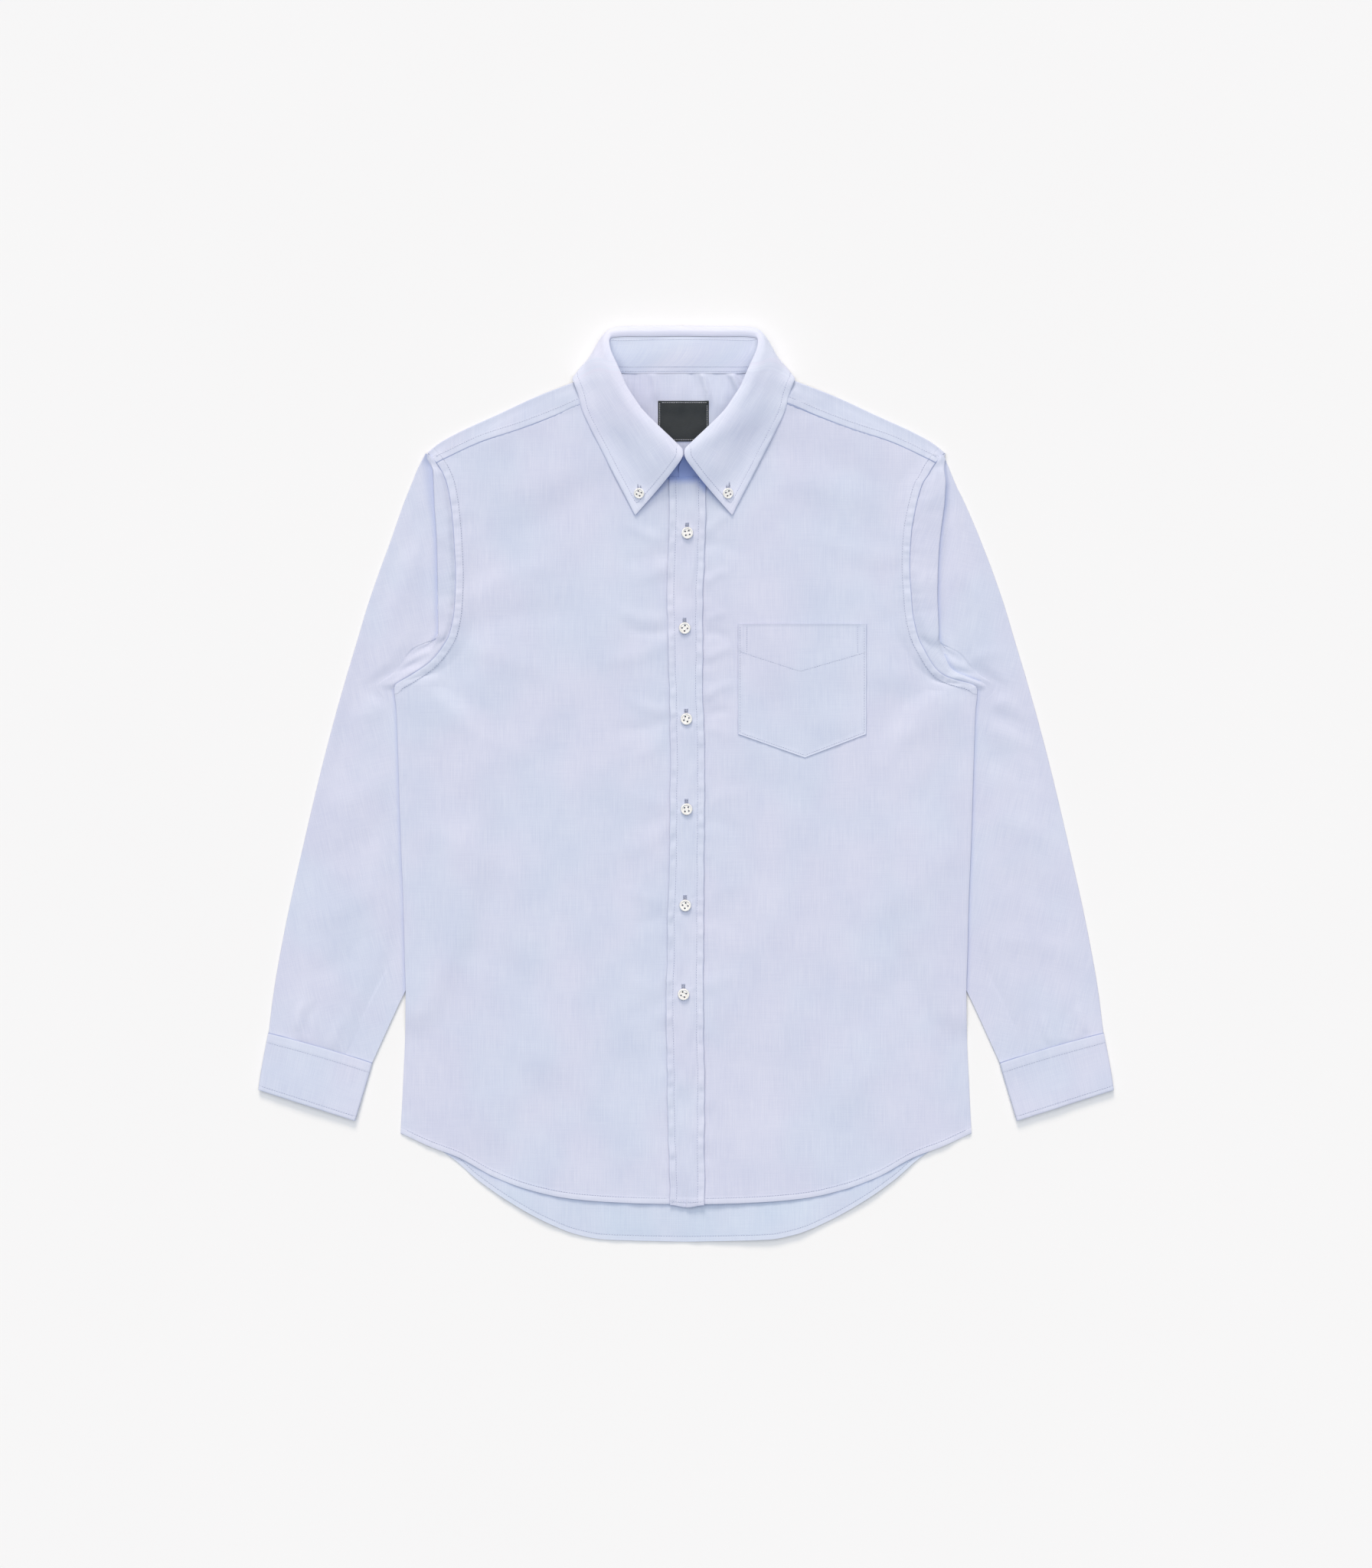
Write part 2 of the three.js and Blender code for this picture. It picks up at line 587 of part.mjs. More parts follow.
// Places along a collar section, counted in its control points
const SEAM_POINT = 2;
const EDGE_POINT = 7;
const standPoints = [0, 0.5, 1, 1.5, SEAM_POINT - 0.03];
const leafPoints = [SEAM_POINT + 0.09, 2.5, 3, 3.5, 4, 4.5, 5, 5.5, 6, 6.5, EDGE_POINT];

function collarRows(points) {
  const rows = [];
  for (let i = 0; i < COLLAR_ROWS; i += 1) {
    const round = (2 * i) / (COLLAR_ROWS - 1) - 1;
    const curve = collarCurve(Math.abs(round), round < 0 ? -1 : 1);
    rows.push(points.map((t) => curve.getPoint(t / EDGE_POINT)));
  }
  return rows;
}

const collarStand = () => clothWall(collarRows(standPoints), COLLAR_WALL);
const collarLeafRows = () => collarRows(leafPoints);
const collarLeaf = () => clothWall(collarLeafRows(), COLLAR_WALL);

function placket() {
  const rows = placketEdges.map(({ y, left, right }) => (
    evenSteps(left, right, 2).map((x) => new THREE.Vector3(x, y, upperZ(x, y) + ON_TOP))
  ));
  return clothWall(rows, CLOTH);
}

function pocket() {
  const point = (x, v) => {
    const toPoint = x < POCKET.pointX
      ? (x - POCKET.left) / (POCKET.pointX - POCKET.left)
      : (POCKET.right - x) / (POCKET.right - POCKET.pointX);
    const y = mix(mix(POCKET.side, POCKET.point, toPoint), POCKET.top, v);
    return new THREE.Vector3(x, y, upperZ(x, y) + ON_TOP);
  };
  const columns = [
    ...evenSteps(POCKET.left, POCKET.pointX, 3),
    ...evenSteps(POCKET.pointX, POCKET.right, 3).slice(1),
  ];
  return clothWall(grid(evenSteps(0, 1, 4), columns, point), CLOTH);
}

function neckLabel() {
  const above = CLOTH / 2 + LABEL_GAP + LABEL.wall / 2;
  const point = (x, y) => new THREE.Vector3(x, y, lowerZ(x, y) + above);
  const rows = evenSteps(LABEL.bottom, LABEL.top, 4);
  return clothWall(grid(rows, evenSteps(LABEL.left, LABEL.right, 2), point), LABEL.wall);
}

// A turned button with a raised rim round a dished face
function buttonShape({ radius, height, rim, dish }) {
  const profile = [
    [0, 0],
    [radius * 0.8, 0],
    [radius, height * 0.45],
    [radius - 0.25, height * 0.9],
    [radius - rim, height],
    [radius - rim * 2, height - dish],
    [0, height - dish],
  ];
  const shape = new THREE.LatheGeometry(profile.map(([x, y]) => new THREE.Vector2(x, y)), BUTTON_SIDES);
  return shape.rotateX(Math.PI / 2);
}

const fabric = (color) => new THREE.MeshStandardMaterial({ color, roughness: 0.9, metalness: 0 });
const shirting = fabric(0xd0d6ea);
const sleeving = fabric(0xced4e8);
const labelWeave = fabric(0x282f32);
const buttonResin = new THREE.MeshStandardMaterial({ color: 0xe9e6dc, roughness: 0.35, metalness: 0 });

const shirt = new THREE.Group();

function addPiece(name, geometry, material) {
  const mesh = new THREE.Mesh(geometry, material);
  mesh.name = name;
  shirt.add(mesh);
  return mesh;
}

addPiece('back', backPanel(), shirting);
addPiece('yoke', yoke(), shirting);
addPiece('front_right', frontPanel(-1), shirting);
addPiece('front_left', frontPanel(1), shirting);
addPiece('placket', placket(), shirting);
addPiece('collar_stand', collarStand(), shirting);
addPiece('collar_leaf', collarLeaf(), shirting);
addPiece('sleeve_right', sleeve(-1), sleeving);
addPiece('sleeve_left', sleeve(1), sleeving);
addPiece('cuff_right', cuff(-1), sleeving);
addPiece('cuff_left', cuff(1), sleeving);
addPiece('pocket', pocket(), shirting);
addPiece('neck_label', neckLabel(), labelWeave);

placketButtons.forEach(({ x, y }, i) => {
  const button = addPiece(`button_${i + 1}`, buttonShape(BUTTON), buttonResin);
  button.position.set(x, y, upperZ(x, y) + ON_TOP + CLOTH / 2 + BUTTON_LIFT);
});

// Collar buttons stand square on the leaf where they are sewn
[['right', -1], ['left', 1]].forEach(([name, side]) => {
  const target = new THREE.Vector2(COLLAR_SHIFT + side * COLLAR_BUTTON_AT.x, COLLAR_BUTTON_AT.y);
  const rows = collarLeafRows();
  let nearest = { distance: Infinity };
  for (let i = 1; i < rows.length - 1; i += 1) {
    for (let j = 1; j < rows[i].length - 1; j += 1) {
      const distance = Math.hypot(rows[i][j].x - target.x, rows[i][j].y - target.y);
      if (distance < nearest.distance) nearest = { distance, i, j };
    }
  }
  const { i, j } = nearest;
  const across = rows[i][j + 1].clone().sub(rows[i][j - 1]);
  const along = rows[i + 1][j].clone().sub(rows[i - 1][j]);
  const normal = across.cross(along).normalize();
  if (normal.z < 0) normal.negate();
  const spot = rows[i][j].clone();
  const dx = target.x - spot.x;
  const dy = target.y - spot.y;
  spot.set(target.x, target.y, spot.z - (normal.x * dx + normal.y * dy) / normal.z);
  const button = addPiece(`collar_button_${name}`, buttonShape(COLLAR_BUTTON), buttonResin);
  button.position.copy(spot.addScaledVector(normal, COLLAR_WALL / 2 + COLLAR_BUTTON_LIFT));
  button.quaternion.setFromUnitVectors(new THREE.Vector3(0, 0, 1), normal);
});

export default shirt;
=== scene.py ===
"""Looks of a long sleeve dress shirt laid flat: thin cloth shells, seams, stitches and buttons.

Lengths are in millimetres until a mesh is made. X runs across the shirt, Y from hem to collar and
Z up from the surface it lies on. Left and right are the wearer's, so the left side lies at +X.
"""

import math

import bpy
import numpy as np
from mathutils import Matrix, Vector


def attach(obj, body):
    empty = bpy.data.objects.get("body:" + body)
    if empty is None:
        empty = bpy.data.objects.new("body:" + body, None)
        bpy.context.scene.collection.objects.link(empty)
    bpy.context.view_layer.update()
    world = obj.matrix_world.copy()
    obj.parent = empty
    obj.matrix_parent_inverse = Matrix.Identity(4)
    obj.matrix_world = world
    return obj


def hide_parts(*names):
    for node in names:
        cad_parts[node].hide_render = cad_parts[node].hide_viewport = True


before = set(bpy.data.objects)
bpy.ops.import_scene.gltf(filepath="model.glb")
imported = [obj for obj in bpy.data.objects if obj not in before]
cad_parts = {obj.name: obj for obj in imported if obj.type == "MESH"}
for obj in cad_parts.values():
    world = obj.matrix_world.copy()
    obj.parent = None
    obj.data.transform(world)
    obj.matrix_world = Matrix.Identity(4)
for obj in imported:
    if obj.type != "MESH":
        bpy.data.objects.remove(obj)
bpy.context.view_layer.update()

MM = 0.001

# A distance that stands for no seam near
FAR = 500.0
SIDE_NAMES = {-1: "right", 1: "left"}

# Layers, as in the frame
LAYER_STEP = 1.45
LOW = 0.5
HIGH = LOW + LAYER_STEP

# Thin shells of this script
SHELL = 0.6
UNDER = 1.15
UNDER_REACH = 4.0
BACK_SHELL = 0.9
PLACKET_SHELL = 0.9
COLLAR_SHELL = 1.2
CUFF_SHELL = 1.2

# Body
CENTRE_OVERLAP = 13.0
SEAM_GAP = 0.45
YOKE_GAP = 0.75
ARMPIT_Y = 94.0
BACK_SEAM_Y = 300.0
SHOULDER_TIP = (250.0, 320.0)
BODY_CROWN = 1.5
NECK_RISE = 1.5
NECK_RISE_WIDTH = 42.0
ARMHOLE_RISE = 2 * LAYER_STEP
ARMHOLE_RISE_WIDTH = 24.0
SLEEVE_LIFT = 2 * LAYER_STEP
LIFT_RAMP = 30.0
LIFT_MARGIN = 24.0
LIFT_FADE = 24.0
COLLAR_UNDER_LIFT = 1.9
PACKED_STEP = 0.12
FELL_WIDTH = 7.5
YOKE_STITCH = 7.0
HEM_WIDTH = 6.0
FRONT_HEM_STITCH = 5.4

# Side seam from the hem corner up to the armpit, then the armhole up to the shoulder tip
BODY_SIDE = [
    (-337, 275.7), (-290, 273.2), (-235, 271.0), (-200, 270.6), (-165, 271.6), (-120, 272.6),
    (-60, 275.0), (20, 277.6), (70, 279.4), (94, 281.6), (106, 264.5), (118, 247.4), (131, 236.4),
    (145, 228.6), (170, 223.8), (200, 222.5), (235, 224.0), (270, 227.2), (290, 231.0),
    (300, 234.8), (310, 241.0), (320, 250.0),
]
FRONT_HEM = [
    (0, -405.9), (40, -405.2), (80, -403.4), (115, -400.0), (150, -392.4), (185, -379.6),
    (220, -360.6), (248, -350.0), (277, -336.5),
]
BACK_HEM = [
    (0, -442.2), (40, -441.4), (80, -440.0), (106, -435.0), (135, -423.4), (172, -402.8),
    (201, -382.6), (227, -360.5), (250, -347.0), (277, -337.2),
]
NECKLINE = [(0, 287.6), (18, 290.8), (38, 303.4), (58, 321.2), (73, 338.8), (82, 355.0), (88, 370.4)]
YOKE_SEAM = [
    (88, 370.4), (103, 365.3), (126.5, 355.2), (160, 342.4), (200, 329.2), (222, 319.2),
    (241, 309.6), (250, 304.0),
]
SHOULDER_FOLD = [
    (60, 405.5), (80, 399.6), (107, 388.5), (145, 373.7), (183, 356.2), (222, 338.2),
    (238, 329.2), (250, 319.6),
]
YOKE_NECK = [
    (0, 395.9), (60, 395.9), (66, 396.8), (71, 398.2), (76, 400.6), (81, 402.0), (85, 403.0),
    (87.6, 480.0),
]

# Sleeve stations from the cap down to the cuff: outer x and y, inner x (None on the armhole) and
# y, how far the armhole pleat reaches out, where it turns back, and whether it is folded.
SLEEVE_STATIONS = [
    (251.4, 319.4, None, 317.6, 1.4, 0.5, 0),
    (253.2, 316.0, None, 314.5, 4.5, 3.4, 0),
    (259.0, 304.5, None, 300, 9.5, 4, 1),
    (264.8, 290.0, None, 290, 12.5, 3, 1),
    (272.8, 270.0, None, 270, 15.5, 3, 1),
    (285.0, 235.0, None, 235, 16.5, 3, 1),
    (297.8, 200.0, None, 200, 17.2, 3, 1),
    (308.0, 170.0, None, 170, 15.5, 3, 1),
    (315.4, 145.0, None, 145, 10.5, 4, 1),
    (319.6, 131.0, None, 131, 10, 26, 0),
    (323.5, 118.0, None, 118, 10, 26, 0),
    (327.2, 106.0, None, 106, 9, 18, 0),
    (330.6, 94.0, None, 94, 8, 16, 0),
    (337.4, 70.0, 252.0, 70, 10, 26, 0),
    (350.6, 20.0, 228.0, 20, 10, 26, 0),
    (369.6, -60.0, 228.0, -66, 10, 26, 0),
    (387.2, -140.0, 249.0, -152, 10, 26, 0),
    (398.2, -202.0, 279.0, -216, 10, 26, 0),
    (403.0, -240.4, 303.2, -269.2, 10, 26, 0),
]
FIRST_FREE_STATION = 12
CUFF_STATIONS = [
    (403.2, -240.9, 303.5, -269.7), (406.8, -259.5, 309.0, -288.5),
    (410.0, -277.5, 314.6, -307.0), (412.6, -295.3, 320.0, -325.0),
]
CUFF_BOW = 1.2
CUFF_STITCH = 9.0
CUFF_EDGE_STITCH = 4.0

# How far the left armhole lies from the right one's mirror image: height, then the shift of the
# seam, of the fold beside it and of the sleeve's outer edge
LEFT_ARM_SHIFT = [
    (84, 0, 0, 0), (94, -1, 0, 0), (103, -3, 0, 0), (118, -4, 0, 0), (131, -4.5, 2.5, 0),
    (148, -5, 5, 0), (162, -5.2, 4.3, 0), (186, -5.5, 3.2, 0), (206, -6.4, 3.4, 0),
    (226, -7, 4, -0.3), (243, -6.9, 5, -0.9), (258, -5.8, 6, -2.2), (275, -4.2, 7, -3.6),
    (290, -2.6, 7.2, -4.8), (301, 0, 5.4, -5), (310, 0, 2.6, -4.6), (320, 0, 0, -3),
]
LEFT_ARM_SAG = (250.0, 116.0, 26.0, 8.5)

# Collar sections from the back of the neck to the front edge: the points of the neck seam, the
# leaf seam, the turn of the roll, where the leaf comes to lie, and its edge.
COLLAR_SHIFT = -2.3
COLLAR_SECTIONS = [
    (0, 396.8, 3.0, 0, 431.7, 12.6, 0, 441.6, 8.0, 0, 430.0, 0.9, 0, 390.0, 0.7),
    (30, 396.8, 3.0, 31, 431.3, 12.9, 32.5, 441.4, 8.2, 34, 430.0, 0.9, 36, 390.0, 0.7),
    (56, 396.9, 3.0, 63, 431.0, 13.6, 65, 440.2, 8.8, 66, 428.0, 0.9, 66, 389.5, 0.7),
    (68, 398.6, 3.2, 71.4, 427.4, 16.2, 77.5, 432.6, 10.5, 80, 420.0, 1.4, 86, 389.0, 0.7),
    (76, 400.2, 4.2, 71.0, 415.6, 19.4, 85, 418.8, 13.4, 92, 409.0, 3.0, 101, 392.0, 1.2),
    (81, 396.0, 5.4, 66.0, 403.0, 21.5, 85, 408.5, 18.0, 98, 402.0, 8.0, 107, 391.6, 5.4),
    (85, 386.0, 6.0, 62.0, 393.5, 23.0, 81, 396.0, 21.0, 94, 391.5, 13.0, 105, 385.5, 8.6),
    (86.5, 374.0, 6.0, 57.0, 382.0, 23.5, 75, 382.4, 22.0, 89, 378.6, 13.0, 101, 374.0, 7.6),
    (82, 358.0, 6.0, 49.5, 370.0, 24.0, 68, 368.0, 22.5, 84, 363.6, 13.0, 97.2, 359.5, 6.6),
    (73, 341.5, 6.0, 41.5, 358.5, 24.0, 59.5, 352.0, 22.5, 76, 345.8, 12.5, 88.5, 341.0, 6.2),
    (58, 323.5, 6.0, 31.5, 348.0, 24.0, 49, 337.5, 22.5, 65, 328.0, 12.0, 77.7, 320.0, 6.0),
    (38, 305.5, 6.0, 21.0, 338.0, 23.6, 38, 323.0, 22.0, 54.5, 310.0, 11.6, 67.6, 300.0, 6.0),
    (18, 293.8, 6.0, 10.4, 328.4, 22.8, 26, 309.5, 21.0, 42.5, 293.0, 11.2, 57, 279.8, 6.0),
    (1.4, 290.4, 6.0, 1.2, 319.6, 22.0, 11.5, 300.5, 19.5, 27, 282.0, 11.0, 46.7, 259.8, 6.0),
]
ROLL_RISE = 2.4
ROLL_OUT = 5.5
ROLL_UP = 3.8
MEETING = 2.3
SEAM_POINT = 2
EDGE_POINT = 7
LEAF_STITCH = 6.0

# Edges of the placket: height, wearer's right edge, wearer's left edge
PLACKET_EDGES = [
    (-406.6, -15.2, 17.6), (-381, -15.6, 17.7), (-352, -16.6, 17.5), (-322, -17.4, 17.7),
    (-292, -17.7, 17.6), (-248, -18.4, 16.8), (-218, -19.0, 16.6), (-189, -18.4, 16.4),
    (-159, -17.8, 16.9), (-115, -17.2, 16.8), (-70, -15.6, 17.1), (-26, -15.4, 17.6),
    (18, -14.9, 17.7), (63, -15.2, 17.0), (92, -15.9, 15.8), (129, -16.7, 16.0),
    (152, -17.4, 15.8), (181, -18.3, 16.1), (211, -17.4, 17.3), (236, -16.4, 18.0),
    (262, -15.6, 18.7), (287.4, -16.2, 19.0),
]
PLACKET_TOP = 296.5
PLACKET_STITCH = 6.4
PLACKET_END_STITCH = 3.5
PLACKET_DIP = 2.2
POCKET = {"left": 50.3, "right": 174.2, "top": 154.4, "side": 48.2, "point": 25.4, "point_x": 114.8}
POCKET_BAND = [(51.0, 128.0), (110.0, 108.6), (173.6, 127.0)]
LABEL_GAP = 0.25
LABEL = {"left": -27.0, "right": 22.0, "bottom": 331.0, "top": 370.0}

PLACKET_BUTTONS = [
    (1.3, 242.3), (-1.2, 150.4), (0.4, 62.7), (0.6, -24.4), (-0.7, -117.3), (-2.3, -203.1),
]
COLLAR_BUTTON_AT = (42.6, 280.6)
BUTTON_RADIUS = 5.7
BUTTON_HEIGHT = 2.6
COLLAR_BUTTON_RADIUS = 5.2
COLLAR_BUTTON_HEIGHT = 2.4
BUTTON_LIFT = 0.35
BUTTONHOLE_WIDTH = 3.8
BUTTONHOLE_ABOVE = 10.4
BUTTONHOLE_BELOW = 6.4
COLLAR_HOLE_WIDTH = 4.6
COLLAR_HOLE_ABOVE = 11.2
COLLAR_HOLE_BELOW = 5.6

# Small creases of the placket round each button, from the button's middle
BUTTON_CREASES = [
    (5, 3, 15, 8, 1.7, 0.55), (-6, -2, -15, -8, 1.9, 0.55), (4, -5, 13, -15, 2.0, -0.45),
    (-5, 6, -14, 12, 1.7, -0.45), (6, -1, 15, -3, 1.4, 0.4), (-5, 1, -15, 3, 1.4, -0.35),
]
# Soft creases of the fronts: from x, y to x, y, half width and height, below zero for a trough
FRONT_CREASES = [
    (-18, 236, -58, 251, 6, 0.9), (-18, 226, -66, 214, 7, -0.8), (-18, 212, -50, 196, 6, 0.7),
    (-18, 158, -74, 170, 7, 0.8), (-18, 147, -60, 150, 5, -0.7), (-18, 137, -84, 118, 8, 0.9),
    (-18, 70, -58, 82, 6, 0.7), (-18, 60, -76, 52, 7, -0.8), (-18, 46, -52, 24, 7, 0.7),
    (-18, -18, -64, -6, 7, 0.6), (-18, -30, -50, -40, 6, -0.6), (-18, -46, -78, -70, 8, 0.6),
    (-18, -112, -60, -102, 6, 0.6), (-18, -124, -56, -136, 6, -0.6), (-18, -198, -58, -190, 7, 0.5),
    (-18, -208, -66, -226, 7, -0.5), (19, 244, 46, 262, 6, 0.8), (19, 232, 58, 222, 7, -0.7),
    (19, 196, 44, 206, 5, 0.7), (19, 158, 40, 166, 5, 0.7), (19, 146, 44, 140, 5, -0.8),
    (19, 120, 46, 132, 5, 0.8), (19, 84, 48, 98, 5, 0.7), (19, 66, 44, 70, 5, -0.7),
    (19, 54, 52, 42, 6, 0.6), (19, -18, 62, -10, 7, 0.6), (19, -34, 58, -50, 7, -0.6),
    (19, -112, 60, -96, 7, 0.5), (19, -128, 64, -148, 8, -0.5), (19, -196, 56, -186, 7, 0.5),
    (-216, 174, -118, 214, 12, 0.9), (-214, 150, -96, 164, 13, -0.9), (-222, 132, -120, 96, 12, 0.8),
    (-262, 78, -160, 20, 14, 0.9), (-268, 30, -190, -60, 14, -0.8), (-264, -40, -150, -110, 16, 0.7),
    (-230, -150, -90, -240, 18, -0.7), (-170, -250, -60, -330, 16, 0.6),
    (-60, 330, -190, 280, 16, 0.8), (-80, 290, -200, 240, 14, -0.7),
    (216, 214, 120, 244, 12, 0.9), (214, 176, 186, 150, 10, -0.7), (232, 130, 190, 96, 12, 0.9),
    (262, 84, 190, 40, 13, 0.8), (268, 40, 200, -40, 14, -0.8), (262, -60, 170, -130, 16, 0.8),
    (240, -160, 130, -250, 18, -0.7), (190, -260, 90, -340, 16, 0.6),
    (70, 330, 180, 290, 15, -0.8), (90, 290, 204, 262, 14, 0.8), (100, 376, 116, 388, 5, 1.1),
    (178, 20, 236, 60, 12, 0.7), (60, 10, 160, -50, 16, -0.6),
]
# Creases of the sleeves, told by the side of the shirt they lie on
SLEEVE_CREASES = [
    (254, 96, 340, 58, 8, 0.9), (262, 78, 336, 44, 7, -0.8), (268, 52, 344, 34, 9, 0.8),
    (250, 112, 312, 128, 7, 0.8), (288, 26, 352, 2, 11, -0.8), (292, -30, 362, -66, 13, 0.8),
    (300, -90, 368, -120, 14, -0.7), (300, -150, 384, -172, 12, 0.7),
    (262, 206, 292, 150, 8, 0.6), (264, 252, 280, 200, 8, -0.6),
    (-262, 92, -330, 62, 9, 0.8), (-268, 62, -340, 24, 10, -0.9), (-274, 18, -350, -26, 12, 0.8),
    (-286, -36, -362, -80, 13, -0.8), (-296, -96, -372, -136, 13, 0.8),
    (-300, -150, -380, -190, 12, -0.7), (-262, 226, -296, 150, 9, 0.7), (-258, 262, -282, 214, 8, -0.6),
    (-376, -238, -368, -208, 4, 1.2), (-366, -243, -356, -210, 4, -0.9),
    (-340, -252, -332, -226, 5, 0.7), (388, -240, 380, -212, 4, 1.1), (372, -246, 366, -214, 5, -0.8),
    (352, -250, 344, -222, 4, 0.9), (326, -258, 318, -236, 5, 0.6),
]
# Small folds where the pleat beside the armhole runs out
PLEAT_END_CREASES = [
    (238, 146, 256, 132, 2.6, 0.9), (242, 136, 266, 122, 2.8, -0.6), (246, 128, 276, 112, 3.0, 1.1),
    (252, 118, 282, 104, 3.0, -0.6), (258, 110, 294, 98, 3.4, 1.0), (270, 122, 288, 116, 2.6, 0.6),
]
# Creases of the yoke's inner face, seen through the neck
YOKE_CREASES = [
    (14, 398, 22, 362, 2.6, 1.6), (28, 398, 34, 368, 2.2, -1.1), (42, 398, 54, 368, 3.0, 1.8),
    (50, 398, 64, 378, 2.4, -1.0), (-34, 398, -30, 368, 3.0, 1.1), (-50, 396, -44, 368, 3.0, -0.9),
    (-62, 394, -56, 366, 3.2, 1.3), (4, 398, 8, 374, 2.4, -0.8), (66, 392, 72, 372, 2.6, 1.3),
]


def smooth(t):
    """Ease from 0 to 1."""
    t = np.clip(t, 0.0, 1.0)
    return t * t * (3 - 2 * t)


def mix(a, b, t):
    return a + (b - a) * t


def bell(distance, width):
    """One at no distance, falling off smoothly on both sides."""
    return np.exp(-((distance / width) ** 2))


def unit(vector):
    """A vector of the same direction, one long."""
    return np.asarray(vector, float) / np.linalg.norm(vector)


def slopes(keys, values):
    """Slopes of a curve through values that never overshoots them."""
    step = np.diff(keys)[:, None]
    rise = np.diff(values, axis=0) / step
    inner = np.zeros_like(values)
    same = rise[:-1] * rise[1:] > 0
    weight = 2 * step[1:] + step[:-1], step[1:] + 2 * step[:-1]
    safe = np.where(same, rise[:-1], 1.0), np.where(same, rise[1:], 1.0)
    harmonic = (weight[0] + weight[1]) / (weight[0] / safe[0] + weight[1] / safe[1])
    inner[1:-1] = np.where(same, harmonic, 0.0)
    inner[0] = rise[0]
    inner[-1] = rise[-1]
    return inner


def through(keys, values, at):
    """Values on a smooth curve through a table, at any places along its keys."""
    keys = np.asarray(keys, float)
    values = np.asarray(values, float)
    shape = values.shape[1:]
    flat = values.reshape(len(keys), -1)
    at = np.clip(np.asarray(at, float), keys[0], keys[-1])
    i = np.clip(np.searchsorted(keys, at, side="right") - 1, 0, len(keys) - 2)
    width = keys[i + 1] - keys[i]
    t = ((at - keys[i]) / width)[..., None]
    m = slopes(keys, flat)
    width = width[..., None]
    result = (
        (2 * t**3 - 3 * t**2 + 1) * flat[i]
        + (t**3 - 2 * t**2 + t) * width * m[i]
        + (3 * t**2 - 2 * t**3) * flat[i + 1]
        + (t**3 - t**2) * width * m[i + 1]
    )
    return result.reshape(at.shape + shape)


def along(table, at):
    """Second column of a two-column table, smoothly, at places along the first."""
    keys, values = zip(*table)
    return through(keys, np.array(values)[:, None], at)[..., 0]


def straight(table, at):
    """Second column of a two-column table, by straight lines, at places along the first."""
    keys, values = zip(*table)
    return np.interp(at, keys, values)


def graded(*spans):
    """Steps from 0 to 1, given as spans of (end, count)."""
    steps = [0.0]
    for end, count in spans:
        steps.extend(np.linspace(steps[-1], end, count + 1)[1:])
    return np.array(steps)


def lattice(x, y, cell_x, cell_y, seed):
    """Smooth noise about zero, from seeded values on a lattice."""
    size = 128
    values = np.random.RandomState(seed).uniform(-1, 1, (size, size))
    u = x / cell_x + 40.0
    v = y / cell_y + 40.0
    i = np.floor(u).astype(int)
    j = np.floor(v).astype(int)

    def weights(f):
        return [(1 - f) ** 3 / 6, (3 * f**3 - 6 * f**2 + 4) / 6,
                (-3 * f**3 + 3 * f**2 + 3 * f + 1) / 6, f**3 / 6]

    across = weights(u - i)
    down = weights(v - j)
    total = 0.0
    for a in range(4):
        for b in range(4):
            total = total + across[a] * down[b] * values[(i + a) % size, (j + b) % size]
    return total * 2.2


def nearest(path, x, y):
    """Distance from each point to a path, and how far along the path it is nearest."""
    path = np.asarray(path, float)
    best = np.full(np.shape(x), np.inf)
    where = np.zeros(np.shape(x))
    start = 0.0
    for (ax, ay), (bx, by) in zip(path[:-1], path[1:]):
        dx, dy = bx - ax, by - ay
        length = math.hypot(dx, dy)
        t = np.clip(((x - ax) * dx + (y - ay) * dy) / length**2, 0, 1)
        distance = np.hypot(x - ax - t * dx, y - ay - t * dy)
        nearer = distance < best
        best = np.where(nearer, distance, best)
        where = np.where(nearer, start + t * length, where)
        start += length
    return best, where


def creases(table, x, y):
    """Height of soft creases at the given places."""
    total = np.zeros(np.shape(x))
    for ax, ay, bx, by, width, height in table:
        dx, dy = bx - ax, by - ay
        length = math.hypot(dx, dy)
        t = ((x - ax) * dx + (y - ay) * dy) / length**2
        bend = 0.06 * length * np.sin(np.clip(t, 0, 1) * math.pi)
        off = ((x - ax) * dy - (y - ay) * dx) / length + bend
        ends = smooth((t + 0.12) / 0.3) * smooth((1.12 - t) / 0.5)
        total = total + height * ends * bell(off, width)
    return total


def side_x(y):
    return along(BODY_SIDE, y)


def neck_x(x):
    """Distance from the middle, taken from the collar's own middle near the neck."""
    near = 1 - smooth((np.abs(x) - 88) / 60)
    return np.abs(x - COLLAR_SHIFT * near)


def fold_y(x):
    return along(SHOULDER_FOLD, np.abs(x))


def front_top_y(x):
    d = neck_x(x)
    return np.where(d < NECKLINE[-1][0], along(NECKLINE, d), along(YOKE_SEAM, d))


def sleeve_inner_x(y):
    free = [(-row[3], side_x(row[3]) if row[2] is None else row[2])
            for row in SLEEVE_STATIONS[FIRST_FREE_STATION:]]
    return straight(free, -np.asarray(y, float))


def sleeve_lift(x, y):
    inner = sleeve_inner_x(y)
    ramp = smooth((np.abs(x) - inner + LIFT_MARGIN + LIFT_RAMP) / LIFT_RAMP)
    above = 1 - smooth((y - ARMPIT_Y) / LIFT_FADE)
    below = smooth((side_x(y) - inner + LIFT_MARGIN) / LIFT_RAMP / 0.5)
    return SLEEVE_LIFT * ramp * above * below


def collar_lift(x, y):
    across = 1 - smooth((np.abs(x) - 120) / 40)
    return COLLAR_UNDER_LIFT * across * smooth((y - 356) / 22)


def lower_z(x, y):
    return LOW + sleeve_lift(x, y) + collar_lift(x, y)


